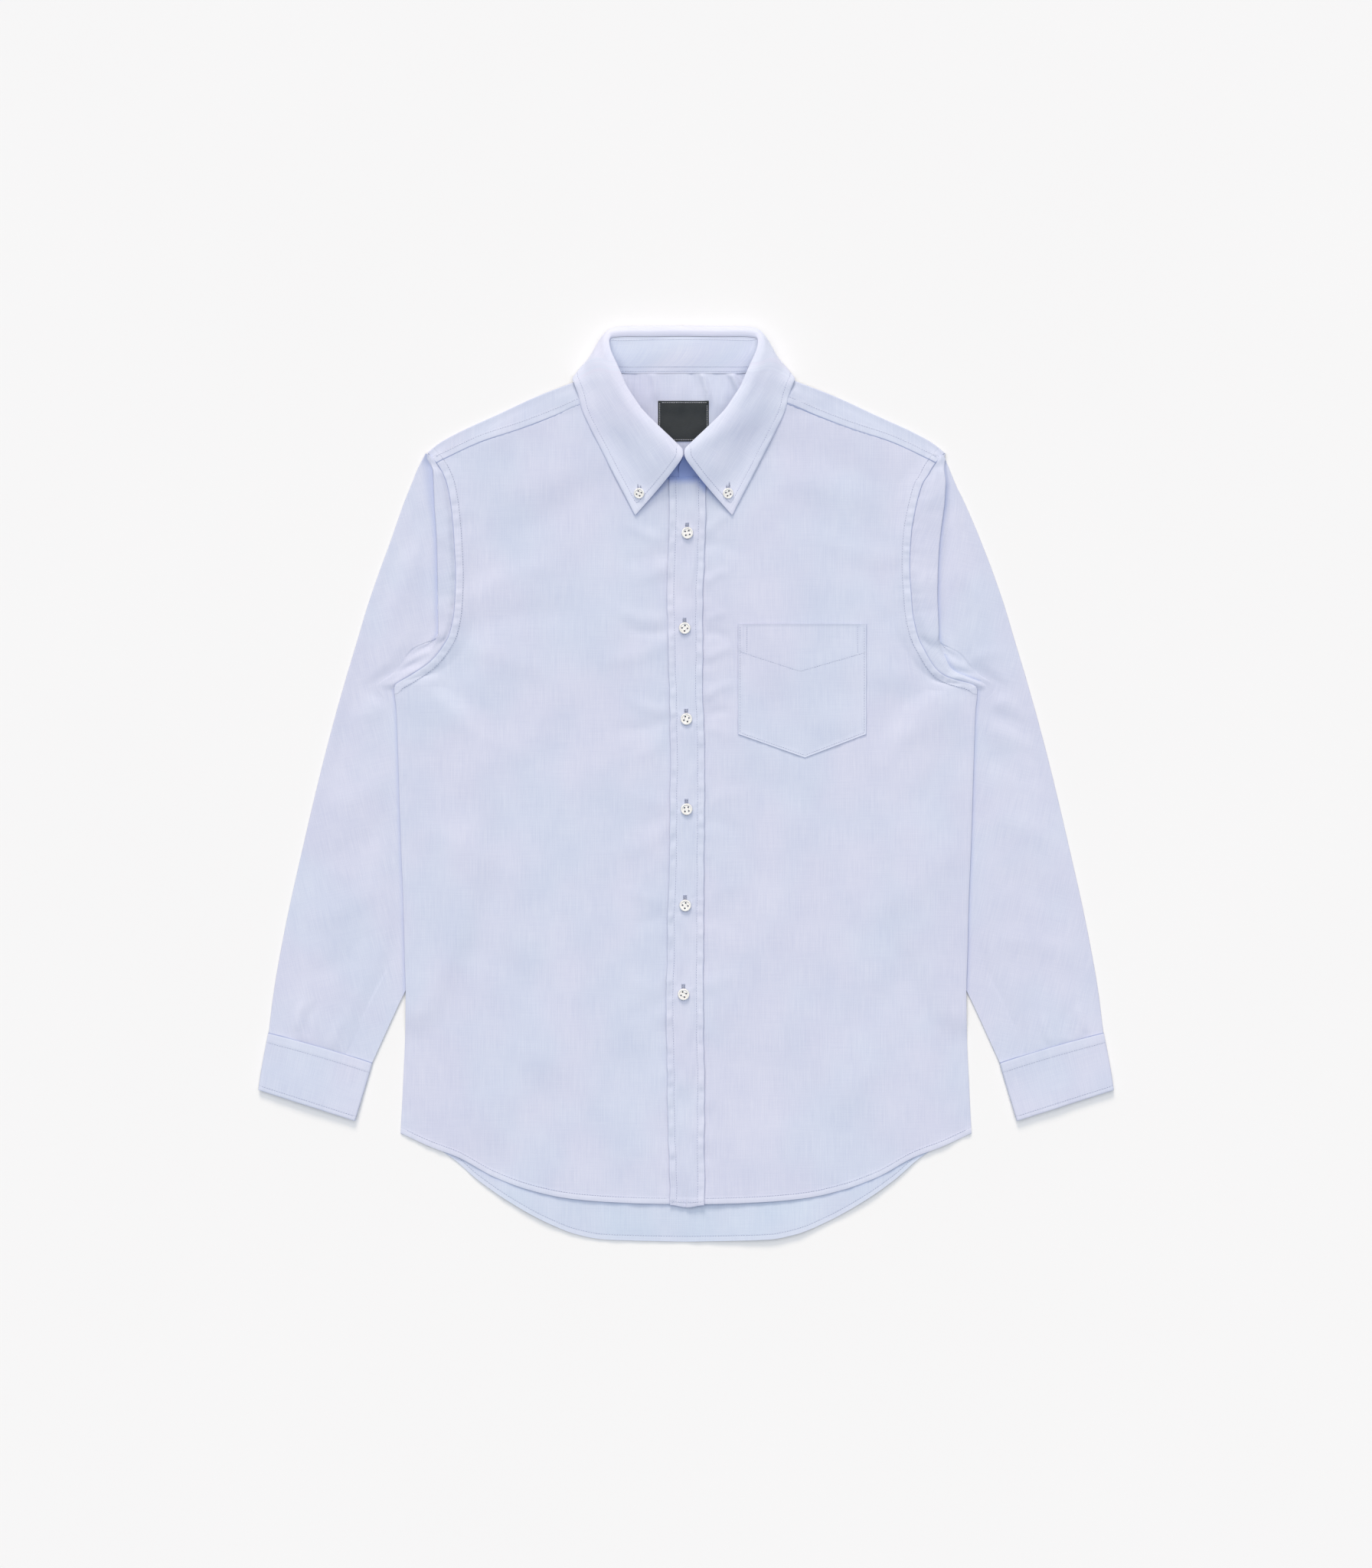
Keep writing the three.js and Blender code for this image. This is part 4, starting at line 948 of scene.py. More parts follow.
def yoke_rows():
    """Sections of the yoke round the shoulder fold, cut off by the neckline."""
    near = np.concatenate([
        np.linspace(0, 60, 30), np.linspace(61, 87.6, 38)[1:], np.linspace(88.2, 107, 16),
    ])
    far = np.linspace(0.45, 1, 70)
    shift = COLLAR_SHIFT / SHOULDER_TIP[0]
    left = np.concatenate([near / SHOULDER_TIP[0] + shift, far])
    right = np.concatenate([-near / SHOULDER_TIP[0] + shift, -far])
    shares = np.concatenate([right[::-1], left[1:]])
    rows = []
    grains = []
    for u in shares:
        tip = abs(u) * SHOULDER_TIP[0]
        fold = float(fold_y(tip))

        def place(y):
            return u * side_x(np.minimum(y, SHOULDER_TIP[1]))

        seam = fold - 20.0
        for _ in range(EDGE_ROUNDS):
            seam = float(along(YOKE_SEAM, max(88.0, float(neck_x(place(seam)))))) + YOKE_GAP
        bottom = float(lower_z(place(fold), fold))
        radius = max(0.5, (float(body_z(place(fold), np.float64(fold))) - bottom) / 2)
        bend = math.pi * radius / 2
        straight_y = fold - radius
        run_end = fold + bend + straight_y - seam + YOKE_GAP
        runs = np.concatenate([
            mix(BACK_SEAM_Y + SEAM_GAP, fold - bend, graded((0.6, 8), (1.0, 14))),
            fold + bend * np.linspace(-0.85, 0.85, 9),
            mix(fold + bend, run_end, graded((0.2, 6), (1.0, 22))),
        ])
        across = float(neck_x(place(SHOULDER_TIP[1])))
        stop = min(run_end, float(straight(YOKE_NECK, across)))
        count = len(runs)
        at = np.minimum(runs, stop - (count - 1 - np.arange(count)) * PACKED_STEP)
        past = at - fold
        angle = np.clip(past / radius, -math.pi / 2, math.pi / 2)
        in_fold = np.abs(past) < bend
        y = np.where(in_fold, straight_y + radius * np.cos(angle), straight_y - (np.abs(past) - bend))
        x = place(y)
        inside = inner_yoke_z(x, y)
        z = np.where(past < 0, inside, body_z(x, y))
        blend_up = smooth((past - bend) / 10)
        turned = bottom + radius * (1 + np.sin(angle))
        z = np.where(in_fold, turned, np.where(past > 0, mix(bottom + 2 * radius, z, blend_up), z))
        z = z - np.where(past > 0, rounded_edge(y - seam, 0.9, 0.25), 0)
        rows.append(stack(x, y, z))
        grains.append(stack(x, at, 7.0))
    return np.array(rows), np.array(grains)


def yoke(material):
    points, grain = yoke_rows()
    x, y = points[..., 0], points[..., 1]
    distance, _ = nearest(YOKE_LINE, np.abs(x), y)
    upper = grain[..., 1] > fold_y(x)
    arm, _ = nearest(ARMHOLE, np.abs(x), y)
    lines = stack(np.where(upper, arm, FAR), FAR, np.where(upper, distance, FAR))
    return cloth_shell("yoke_cloth", points, SHELL, material, grain, lines)


def half_turn(reach, from_z, to_z, outward, count=7):
    """Points of a half turn in a section."""
    radius = abs(to_z - from_z) / 2
    angle = np.linspace(-70, 70, count) * math.pi / 180
    turn = reach - outward * radius * (1 - np.cos(angle))
    height = (from_z + to_z) / 2 + math.copysign(radius, to_z - from_z) * np.sin(angle)
    return np.stack([turn, height], axis=1)


def level(reach, z):
    return np.stack([reach, np.full_like(reach, z)], axis=1)


# Parts of a sleeve's section, in order from its seam
STRIP, PLEATS, MAIN, BACK = 1, 2, 3, 4


def sleeve_outline(width, fold, tuck, pleat, sewn):
    """Section of a sleeve as reach from its seam and height, and the part that each point is in."""
    top = HIGH + 2 * LAYER_STEP * pleat
    middle = HIGH + LAYER_STEP * pleat
    r = LAYER_STEP / 2
    hidden = np.array([-UNDER_REACH, -2.4, -1.2, -0.3]) * sewn
    strip = level(np.concatenate([hidden, np.linspace(0.25, fold - r, 11)]), top)
    if pleat:
        pleats = np.concatenate([
            half_turn(fold, top, middle, 1), level(np.linspace(fold - r, tuck + r, 4), middle),
            half_turn(tuck, middle, HIGH, -1),
        ])
    else:
        pleats = level(mix(fold - r, tuck + r, np.linspace(0.06, 1, 18)), HIGH)
    main = level(mix(tuck + r + 1, width - r, np.linspace(0, 1, 48)), HIGH)
    turn = half_turn(width, HIGH, LOW, 1)
    back = level(mix(width - r, 0, np.linspace(0, 1, 14)), LOW)
    counts = (len(strip), len(pleats), len(main), len(turn) + len(back))
    outline = np.concatenate([strip, pleats, main, turn, back])
    return outline, np.repeat((STRIP, PLEATS, MAIN, BACK), counts)


CUFF_TAIL = (0.8, 2.0, 3.4)


def cuff_tail(last_row):
    """Rows that carry a sleeve's end on inside its cuff."""
    heading = unit(np.array(CUFF_STATIONS[1][:2]) - CUFF_STATIONS[0][:2])
    rows = []
    for step in CUFF_TAIL:
        row = last_row.copy()
        middle = row[:, :2].mean(axis=0)
        row[:, :2] = middle + (row[:, :2] - middle) * (1 - 0.062 * smooth(step / 1.5)) + step * heading
        rows.append(row)
    return np.array(rows)


SLEEVE_GRAIN = -12.6
SLEEVE_FINE_TO = 90
# Heights between which the fold beside the armhole is held up, and how high
ROLL_LOW = 126
ROLL_HIGH = 313
SLEEVE_ROLL = 2.6
# Heights between which the pleat runs out at the armpit
RUN_OUT_LOW = 90
RUN_OUT_HIGH = 152


def sleeve_grid():
    """Points of a sleeve, their reach from its seam and from its outer edge, and their parts."""
    sections = []
    reaches = []
    stations = []
    for outer_x, outer_y, inner_x, inner_y, fold, tuck, pleat in SLEEVE_STATIONS:
        sewn = inner_x is None
        inner = np.array([float(side_x(inner_y)) if sewn else inner_x, inner_y])
        outer = np.array([outer_x, outer_y])
        width = np.linalg.norm(outer - inner)
        outline, role = sleeve_outline(width, fold, tuck, pleat, sewn)
        at = inner + (outer - inner) * (outline[:, :1] / width)
        sections.append(np.concatenate([at, outline[:, 1:]], axis=1))
        reaches.append(np.stack([outline[:, 0], width - outline[:, 0]], axis=1))
        stations.append(-outer_y)
    steps = np.concatenate([
        np.linspace(stations[0], -SLEEVE_FINE_TO, 100)[:-1],
        np.linspace(-SLEEVE_FINE_TO, stations[-1], 145),
    ])
    points = through(stations, np.array(sections), steps)
    reach = through(stations, np.array(reaches), steps)
    points = np.concatenate([points, cuff_tail(points[-1])])
    reach = np.concatenate([reach, np.repeat(reach[-1:], len(CUFF_TAIL), axis=0)])
    return points, reach[..., 0], reach[..., 1], np.broadcast_to(role, points.shape[:2])


def sleeve_fullness(side, x, y, from_seam, from_edge, role):
    """How far a sleeve's main face stands up: its crown, its folds and the gathers at its cuff."""
    free = np.where(y < ARMPIT_Y + 8, smooth((x - side_x(np.minimum(y, ARMPIT_Y)) - 4) / 20), 1.0)
    share = np.where(role == MAIN, free * smooth((from_edge - 1) / 16), 0)
    crown = 1.6 * smooth(from_edge / 34) * smooth((from_edge + 4) / 40) * smooth((from_seam - 22) / 22)
    axis_x, axis_y = rotated(x, y, SLEEVE_GRAIN)
    broad = 0.5 * lattice(axis_x + 600 * side, axis_y, 34, 90, 31)
    broad = broad + 0.3 * lattice(axis_x + 300 * side, axis_y, 16, 42, 32)
    folds = creases(SLEEVE_CREASES, side * x, y)
    gathers = 0.6 * puckers(axis_x + 50 * side, 33, 13) + 0.3 * puckers(axis_x + 90 * side, 36, 6)
    gathers = gathers * bell(y - along_cuff(x), 26)
    return share * (crown + np.maximum(-0.9, broad + folds + gathers))


def sleeve_roll(side, y, z, from_seam, beyond, role):
    """How far the fold beside the armhole stands up, and the cloth just past it with it."""
    held = smooth((y - ROLL_LOW) / 16) * smooth((ROLL_HIGH - y) / 14)
    uneven = 0.9 * puckers(y + 50 * side, 34, 16) + 0.3 * puckers(y + 20 * side, 37, 6)
    opened = np.clip((z - HIGH - LAYER_STEP) / LAYER_STEP, 0, 1)
    share = np.where(role == STRIP, smooth(from_seam / 6), np.where(role == PLEATS, opened, 0))
    fill = SLEEVE_ROLL * bell(np.maximum(beyond, 0), 7) * smooth((beyond + 4) / 4)
    return held * (share * (SLEEVE_ROLL + uneven) + np.where(role == MAIN, fill, 0))


def sewn_to_armhole(side, x, y, z, from_seam, beyond, role):
    """Heights with the sleeve's seam edge carried up to the body's cloth and tucked under it."""
    near_seam = np.where(role <= STRIP, bell(from_seam - 2, 5), 0)
    z = z + near_seam * 0.4 * puckers(y + 77 * side, 35, 4.2) * smooth((y - 96) / 8)
    seam_y = np.clip(y, ARMPIT_Y, 312)
    at_seam = body_z(side_x(seam_y), seam_y) - 0.5
    beside = bell(from_seam, 10)
    edge = 1 - smooth((beyond + 3) / 5) if side > 0 else beside
    starting = smooth((y - RUN_OUT_LOW) / 8)
    climb = np.maximum(edge * starting * smooth((156 - y) / 16), beside * smooth((y - 290) / 12))
    climb = np.where(role <= MAIN, climb, 0)
    z = mix(z, np.maximum(z, at_seam), climb)
    at_pleats = np.where(role <= PLEATS, smooth((RUN_OUT_HIGH - y) / 22) * starting, 0)
    ragged = np.minimum(climb * smooth((RUN_OUT_HIGH - y) / 14) + at_pleats, 1)
    z = z + ragged * np.maximum(-0.5, creases(PLEAT_END_CREASES, x, y))
    z = z - 0.7 * np.where((role == STRIP) & (y > ARMPIT_Y), np.exp(-np.abs(from_seam)), 0)
    under = (role == STRIP) & (from_seam < 0.1) & (y > ARMPIT_Y - 8)
    return np.where(under, np.minimum(z, body_z(side * x, y) - UNDER), z)


def sleeve_lines(side, x, y, beyond, role):
    """Distances by which the material paints shadow: past the fold beside the armhole, a line at the
    cuff, and beside the body's side.
    """
    hidden = (role == STRIP) | (role == BACK) | ((role == PLEATS) & (y > 133)) | (beyond < 0)
    narrowing = 8 / (7 + 8 * smooth((y - 245) / 50))
    fold_end = 90 if side > 0 else ROLL_LOW
    past_fold = np.where(hidden, FAR, beyond * narrowing) + 40 * (1 - smooth((y - fold_end) / 12))
    past_side = np.where((y < ARMPIT_Y) & (role < BACK), np.abs(x - side_x(y)), FAR)
    return stack(past_fold, np.abs(y - along_cuff(x)) * 0.96, past_side)


def sleeve(side, material):
    points, from_seam, from_edge, role = sleeve_grid()
    x, y, z = points[..., 0], points[..., 1], points[..., 2]
    beyond = from_seam - from_seam[:, np.flatnonzero(role[0] == STRIP)[-1]][:, None]
    z = z + sleeve_fullness(side, x, y, from_seam, from_edge, role)
    z = z + sleeve_roll(side, y, z, from_seam, beyond, role)
    z = sewn_to_armhole(side, x, y, z, from_seam, beyond, role)
    inside_cuff = 1.68 + 0.65 * np.clip((z - LOW) / LAYER_STEP, 0, 1)
    dive = smooth(1 - (y - along_cuff(x)) / 4.5) * 0.55
    dive[-len(CUFF_TAIL):] = 1
    z = mix(z, inside_cuff, dive)
    axis_x, axis_y = rotated(x, y, SLEEVE_GRAIN)
    grain = stack(axis_x * side, axis_y, 9.0 + side)
    lines = sleeve_lines(side, x, y, beyond, role)
    name = f"sleeve_{SIDE_NAMES[side]}_cloth"
    return cloth_shell(name, stack(side * x, y, z), SHELL, material, grain, lines)


def along_cuff(x):
    """Height of the cuff seam across the sleeve."""
    outer_x, outer_y, inner_x, inner_y = CUFF_STATIONS[0]
    across = np.clip((np.abs(x) - inner_x) / (outer_x - inner_x), 0, 1)
    return mix(inner_y, outer_y, across) + CUFF_BOW * 4 * across * (1 - across)


def cuff_point(side, across, down):
    """Place on a cuff: across from its inner to its outer edge, down from seam to edge."""
    keys = np.linspace(0, 1, len(CUFF_STATIONS))
    corner = through(keys, np.array(CUFF_STATIONS), np.asarray(down, float))
    x = mix(corner[..., 2], corner[..., 0], across)
    y = mix(corner[..., 3], corner[..., 1], across)
    bow = CUFF_BOW * (1 - (2 * np.asarray(across) - 1) ** 2) * (1 - np.asarray(down))
    return side * x, y + bow


CUFF_LOW = 0.75
CUFF_HIGH = 3.3
CUFF_WIDTH = 103.5
CUFF_DEPTH = 56.0
CUFF_OPEN_LIFT = 1.4


def cuff_lift(down):
    """How far the cuff's open end stands off the surface."""
    return CUFF_OPEN_LIFT * smooth((down - 0.3) / 0.7)


def cuff_top(side, across, down):
    """Height of a cuff's upper face, middle of its wall."""
    x, y = cuff_point(side, across, down)
    run = across * 100
    wave = 0.4 * lattice(x, y, 30, 24, 41) + 0.3 * puckers(run + 33 * side, 42, 5) * np.exp(-down * 8)
    rim = 0.2 * puckers(run + 133 * side, 43, 5) * np.exp(-(1 - down) * 11)
    band = 0.3 * smooth((CUFF_STITCH / CUFF_DEPTH - down) / 0.02)
    crown = 0.5 * np.sin(np.clip(across, 0, 1) * math.pi)
    return CUFF_HIGH + wave + rim + band + crown + cuff_lift(down)


def cuff(side, material):
    r = (CUFF_HIGH - CUFF_LOW) / 2
    upper = np.linspace(r, CUFF_WIDTH - r, 52)
    lower = np.linspace(CUFF_WIDTH - r, r, 20)
    outline = np.concatenate([
        level(upper, CUFF_HIGH), half_turn(CUFF_WIDTH, CUFF_HIGH, CUFF_LOW, 1),
        level(lower, CUFF_LOW), half_turn(0, CUFF_LOW, CUFF_HIGH, -1),
    ])
    down = graded((0.02, 3), (0.2, 8), (0.88, 22), (0.982, 7), (1.0, 3))[:, None]
    across = outline[None, :, 0] / CUFF_WIDTH
    x, y = cuff_point(side, across, down)
    down = np.broadcast_to(down, x.shape)
    from_seam, from_rim = down * CUFF_DEPTH, (1 - down) * CUFF_DEPTH
    z = np.broadcast_to(outline[None, :, 1], x.shape)
    share = np.clip((z - CUFF_LOW) / (CUFF_HIGH - CUFF_LOW), 0, 1)
    z = z + share * (cuff_top(side, across, down) - CUFF_HIGH)
    z = z - share * (rounded_edge(from_seam, 1.3, 0.35) + rounded_edge(from_rim, 1.2, 0.4))
    z = z + (1 - share) * cuff_lift(down)
    grain = stack(across * CUFF_WIDTH, -from_seam, 13.0 + side)
    lines = stack(from_seam, from_rim, FAR)
    name = f"cuff_{SIDE_NAMES[side]}_cloth"
    return cloth_shell(name, stack(x, y, z), CUFF_SHELL, material, grain, lines, closed=True)


def collar_spots(share):
    """The five named points of a collar section, on a curve through the table's sections."""
    table = np.array(COLLAR_SECTIONS, float)
    last = len(table) - 1
    at = min(1.0, max(0.0, share)) * last
    i = min(last - 1, int(at))
    t = at - i
    before = table[i - 1].copy() if i > 0 else table[1].copy()
    if i == 0:
        before[0::3] *= -1
    a, b, after = table[i], table[i + 1], table[min(last, i + 2)]
    row = 0.5 * (2 * a + (b - before) * t + (2 * before - 5 * a + 4 * b - after) * t**2
                 + (3 * a - before - 3 * b + after) * t**3)
    return row.reshape(5, 3)


def catmull(points, at):
    """Points on a centripetal curve through control points, counted from 0."""
    points = np.asarray(points, float)
    last = len(points) - 1
    found = []
    for place in at:
        i = min(last - 1, int(place))
        t = place - i
        a, b = points[i], points[i + 1]
        before = points[i - 1] if i > 0 else 2 * points[0] - points[1]
        after = points[i + 2] if i + 2 <= last else 2 * points[last] - points[last - 1]
        gaps = [math.sqrt(np.linalg.norm(q - p)) for p, q in ((before, a), (a, b), (b, after))]
        first, middle, final = gaps
        out = ((a - before) / first - (b - before) / (first + middle) + (b - a) / middle) * middle
        into = ((b - a) / middle - (after - a) / (middle + final) + (after - b) / final) * middle
        found.append(a + out * t + (3 * (b - a) - 2 * out - into) * t**2
                     + (2 * (a - b) + out + into) * t**3)
    return np.array(found)


def collar_section(share, side, at):
    """Points of one collar section; share runs from the back of the neck to the front edge."""
    spots = collar_spots(share)
    spots[:, 0] = COLLAR_SHIFT + side * spots[:, 0]
    neck, seam, turn, lie, edge = spots
    band = mix(neck, seam, 0.5) + [0, 0, 0.6]
    rising = unit(seam - band)
    steep = mix(0.2, 1.0, smooth((share - 0.2) / 0.25))
    top = seam + ROLL_RISE * rising + [0, 0, steep * ROLL_RISE / 2]
    outward = turn - seam
    outward[2] = 0
    crown = seam + ROLL_OUT * unit(outward) + [0, 0, steep * ROLL_UP]
    crown[0] -= side * MEETING * smooth((share - 0.94) / 0.06)
    return catmull([neck, band, seam, top, crown, turn, lie, edge], at)


def collar_grid(at):
    """Rows of points from the front edge on the right, round the neck, to the left."""
    round_neck = np.linspace(-1, 1, 221)
    rows = [collar_section(abs(s), -1 if s < 0 else 1, at) for s in round_neck]
    return np.array(rows), round_neck


def arc_lengths(points, axis):
    """Running length along a grid's rows or columns."""
    step = np.linalg.norm(np.diff(points, axis=axis), axis=2)
    zero = np.zeros_like(np.take(step, [0], axis=axis))
    return np.cumsum(np.concatenate([zero, step], axis=axis), axis=axis)


def distance_to(path, points):
    """Distance from each point to a path in space."""
    best = np.full(points.shape[:-1], np.inf)
    for a, b in zip(path[:-1], path[1:]):
        line = b - a
        t = np.clip(((points - a) @ line) / max(1e-9, line @ line), 0, 1)
        best = np.minimum(best, np.linalg.norm(points - a - t[..., None] * line, axis=-1))
    return best


def collar_leaf(material):
    start = SEAM_POINT + 0.06
    at = start + (EDGE_POINT - start) * graded((0.4, 26), (0.9, 34), (1.0, 14))
    points, round_neck = collar_grid(at)
    outward = -grid_normals(points, False)
    run = arc_lengths(points, 1)
    across = arc_lengths(points, 0)
    from_edge = distance_to(points[:, -1], points)
    from_front = np.minimum(distance_to(points[0], points), distance_to(points[-1], points))
    rim = np.minimum(from_edge, from_front)
    turned = 0.22 * smooth((LEAF_STITCH + 0.4 - rim) / 0.9)
    ripple = 0.2 * puckers(across, 51, 5) * bell(from_edge - 3, 4)
    wave = 0.5 * lattice(across, run, 26, 22, 52) * smooth(from_edge / 14) * smooth(run / 12)
    droop = rounded_edge(rim, 1.4, 0.5)
    shown = smooth((outward[..., 2] + 0.2) / 0.4)
    points = points + outward * ((turned + ripple + wave - droop) * shown)[..., None]
    share = np.abs(round_neck)[:, None]
    side = np.where(round_neck < 0, -1.0, 1.0)[:, None]
    x, y = points[..., 0], points[..., 1]
    flat = smooth((share - 0.36) / 0.1)
    grain_x = mix(across, 0.85 * x - 0.53 * side * y + 700 * side, flat)
    grain_y = mix(run, 0.53 * side * x + 0.85 * y, flat)
    lines = stack(rim, run, FAR)
    piece = cloth_shell("collar_leaf_cloth", points, COLLAR_SHELL, material,
                        stack(grain_x, grain_y, 17.0), lines)
    return piece, (points, outward, rim)


def collar_stand(material):
    at = (SEAM_POINT - 0.03) * graded((0.12, 4), (1.0, 26))
    points, round_neck = collar_grid(at)
    run = arc_lengths(points, 1)
    height = run / run[:, -1:]
    across = arc_lengths(points, 0)
    wave = 0.3 * lattice(across, run, 18, 14, 61)
    points[..., 2] += wave * smooth(run / 6) * smooth((run[:, -1:] - run) / 6)
    front = smooth((np.abs(round_neck) - 0.84) / 0.14)[:, None]
    sinking = 7.0 * np.sin(math.pi * np.clip(height * 1.1, 0, 1)) + (1 - height)
    sunk = np.maximum(points[..., 2] - front * sinking, 5.0)
    points[..., 2] = np.where(front > 0, sunk, points[..., 2])
    lapped = smooth((round_neck - 0.93) / 0.07)[:, None] * (1 - smooth((height - 0.55) / 0.45))
    points += lapped[..., None] * np.array([-6.0, -0.7, 1.2])
    # Painted shadow: the stand's front in the hollow under the leaves, lighter near its top
    in_hollow = smooth((np.abs(round_neck) - 0.86) / 0.08)[:, None]
    under_leaves = 1 - in_hollow * (1 - 0.6 * smooth((height - 0.75) / 0.25))
    lines = stack(run, run[:, -1:] - run, under_leaves)
    grain = stack(across, run, 19.0)
    piece = cloth_shell("collar_stand_cloth", points, COLLAR_SHELL, material, grain, lines)
    return piece, (points, -grid_normals(points, False), run)


def placket_sides(y):
    """Wandering edges of the placket at a height."""
    keys, right, left = zip(*PLACKET_EDGES)
    edges = through(keys, np.array([right, left]).T, y)
    return [edges[..., k] + 0.3 * lattice(y, y * 0, 7, 1, 71 + k) for k in range(2)]


def placket_z(x, y):
    """Middle of the placket's shell: it lies on the fronts and puckers along its stitching."""
    x, y = np.broadcast_arrays(np.asarray(x, float), np.asarray(y, float))
    right, left = placket_sides(y)
    rim = np.minimum(x - right, left - x)
    side = np.where(x - right < left - x, -1.0, 1.0)
    base = body_z(x, y) + SHELL / 2 + 0.08 + PLACKET_SHELL / 2
    band = 0.3 * smooth((PLACKET_STITCH - rim) / 2.2) + 0.6 * bell(rim, 2.4)
    pucker = lattice(y + 200 * side, x * 0, 4.6, 1, 74) + 0.5 * lattice(y + 90 * side, x * 0, 2.6, 1, 75)
    pucker = 0.5 * pucker * bell(rim - 3.0, 3.0)
    middle = smooth((rim - PLACKET_STITCH) / 5)
    full = middle * (0.45 + 0.5 * lattice(x, y, 8, 12, 76))
    stitch = -0.28 * bell(rim - PLACKET_STITCH, 0.9)
    pulled = np.zeros(x.shape)
    for number, (bx, by) in enumerate(PLACKET_BUTTONS):
        turn = 1 if number % 2 else -1
        pulled += creases(BUTTON_CREASES, turn * (x - bx), y - by)
    return base + np.maximum(-0.05, 0.2 + band + pucker + full + stitch + 0.7 * pulled)


def placket(material):
    bottom = PLACKET_EDGES[0][0]
    u = graded((0.2, 9), (0.8, 14), (1.0, 9))[None, :]
    v = graded((0.02, 12), (0.985, 350), (1.0, 8))[:, None]
    y = mix(bottom - PLACKET_DIP * np.sin(math.pi * u) ** 2, PLACKET_TOP, v)
    right, left = placket_sides(y)
    x = mix(right, left, u)
    z = placket_z(x, y)
    rim = np.minimum(x - right, left - x)
    z = z - rounded_edge(rim, 1.0, 0.3) - rounded_edge(y - y[:1], 1.0, 0.3)
    z = z - 0.5 * smooth((y - 293) / 3.5)
    # Painted shadow: thin lines at the placket's edges, and the collar's shadow below its top and beside
    # the leaves
    lines = stack(rim, y - y[:1], np.minimum(PLACKET_TOP - y, below_leaves(x, y)))
    points = stack(x, y, z)
    return cloth_shell("placket_cloth", points, PLACKET_SHELL, material, stack(x, y, 3.0), lines)


def pocket_bottom(x):
    share = np.where(
        x < POCKET["point_x"],
        (x - POCKET["left"]) / (POCKET["point_x"] - POCKET["left"]),
        (POCKET["right"] - x) / (POCKET["right"] - POCKET["point_x"]),
    )
    return mix(POCKET["side"], POCKET["point"], share)


POCKET_OUTLINE = [
    (POCKET["left"], POCKET["top"]), (POCKET["left"], POCKET["side"]),
    (POCKET["point_x"], POCKET["point"]), (POCKET["right"], POCKET["side"]),
    (POCKET["right"], POCKET["top"]),
]


def edge_x(x):
    """Distance from the nearer side of the pocket."""
    return np.minimum(x - POCKET["left"], POCKET["right"] - x)


def pocket_z(x, y):
    base = body_z(x, y) + SHELL / 2 + 0.06 + SHELL / 2
    edge, run = nearest(POCKET_OUTLINE, x, y)
    band, _ = nearest(POCKET_BAND, x, y)
    above_band = y > np.interp(x, *zip(*POCKET_BAND))
    puff = 0.45 * smooth(edge / 22)
    wave = 0.3 * lattice(x, y, 22, 18, 81) * smooth(edge / 8)
    ripple = 0.3 * puckers(run, 82, 4.5) * bell(edge, 4)
    fold = 0.22 * smooth((4.5 - edge) / 1.2) + 0.4 * bell(edge, 1.2)
    hemmed = np.where(above_band, 0.18, 0.0) * smooth(band / 1.0)
    mouth = 0.5 * smooth((y - POCKET["top"] + 2) / 2) * smooth(edge_x(x) / 8)
    return base + puff + wave + ripple + mouth + np.maximum(fold, hemmed)


def pocket(material):
    columns = np.concatenate([
        mix(POCKET["left"], POCKET["point_x"], graded((0.1, 6), (1.0, 26))),
        mix(POCKET["point_x"], POCKET["right"], graded((0.9, 26), (1.0, 6)))[1:],
    ])[None, :]
    v = graded((0.06, 5), (0.94, 52), (1.0, 5))[:, None]
    bottom = pocket_bottom(columns)
    y = mix(bottom, POCKET["top"], v)
    x = np.broadcast_to(columns, y.shape)
    edge, _ = nearest(POCKET_OUTLINE, x, y)
    band = y - np.interp(x, *zip(*POCKET_BAND))
    lines = stack(edge, band, POCKET["top"] - y)
    points = stack(x, y, pocket_z(x, y))
    return cloth_shell("pocket_cloth", points, SHELL, material, stack(x, y, 4.0), lines)


def label_z(x, y):
    inside = inner_yoke_z(x, y)
    sides = (x - LABEL["left"], LABEL["right"] - x, y - LABEL["bottom"], LABEL["top"] - y)
    puff = 0.35 * smooth(np.minimum.reduce(sides) / 8) + 0.12 * lattice(x, y, 12, 12, 91)
    return inside + SHELL + LABEL_GAP + puff


def label(material):
    x = np.linspace(LABEL["left"], LABEL["right"], 34)[None, :]
    y = np.linspace(LABEL["bottom"], LABEL["top"], 28)[:, None]
    x, y = np.broadcast_arrays(x, y)
    return cloth_shell("neck_label_cloth", stack(x, y, label_z(x, y)), SHELL, material, stack(x, y, 1.0))


THREAD_SIDES = 5
NEEDLE_RADIUS = 0.27
NEEDLE_REACH = 0.32
STITCH_STEP = 1.2


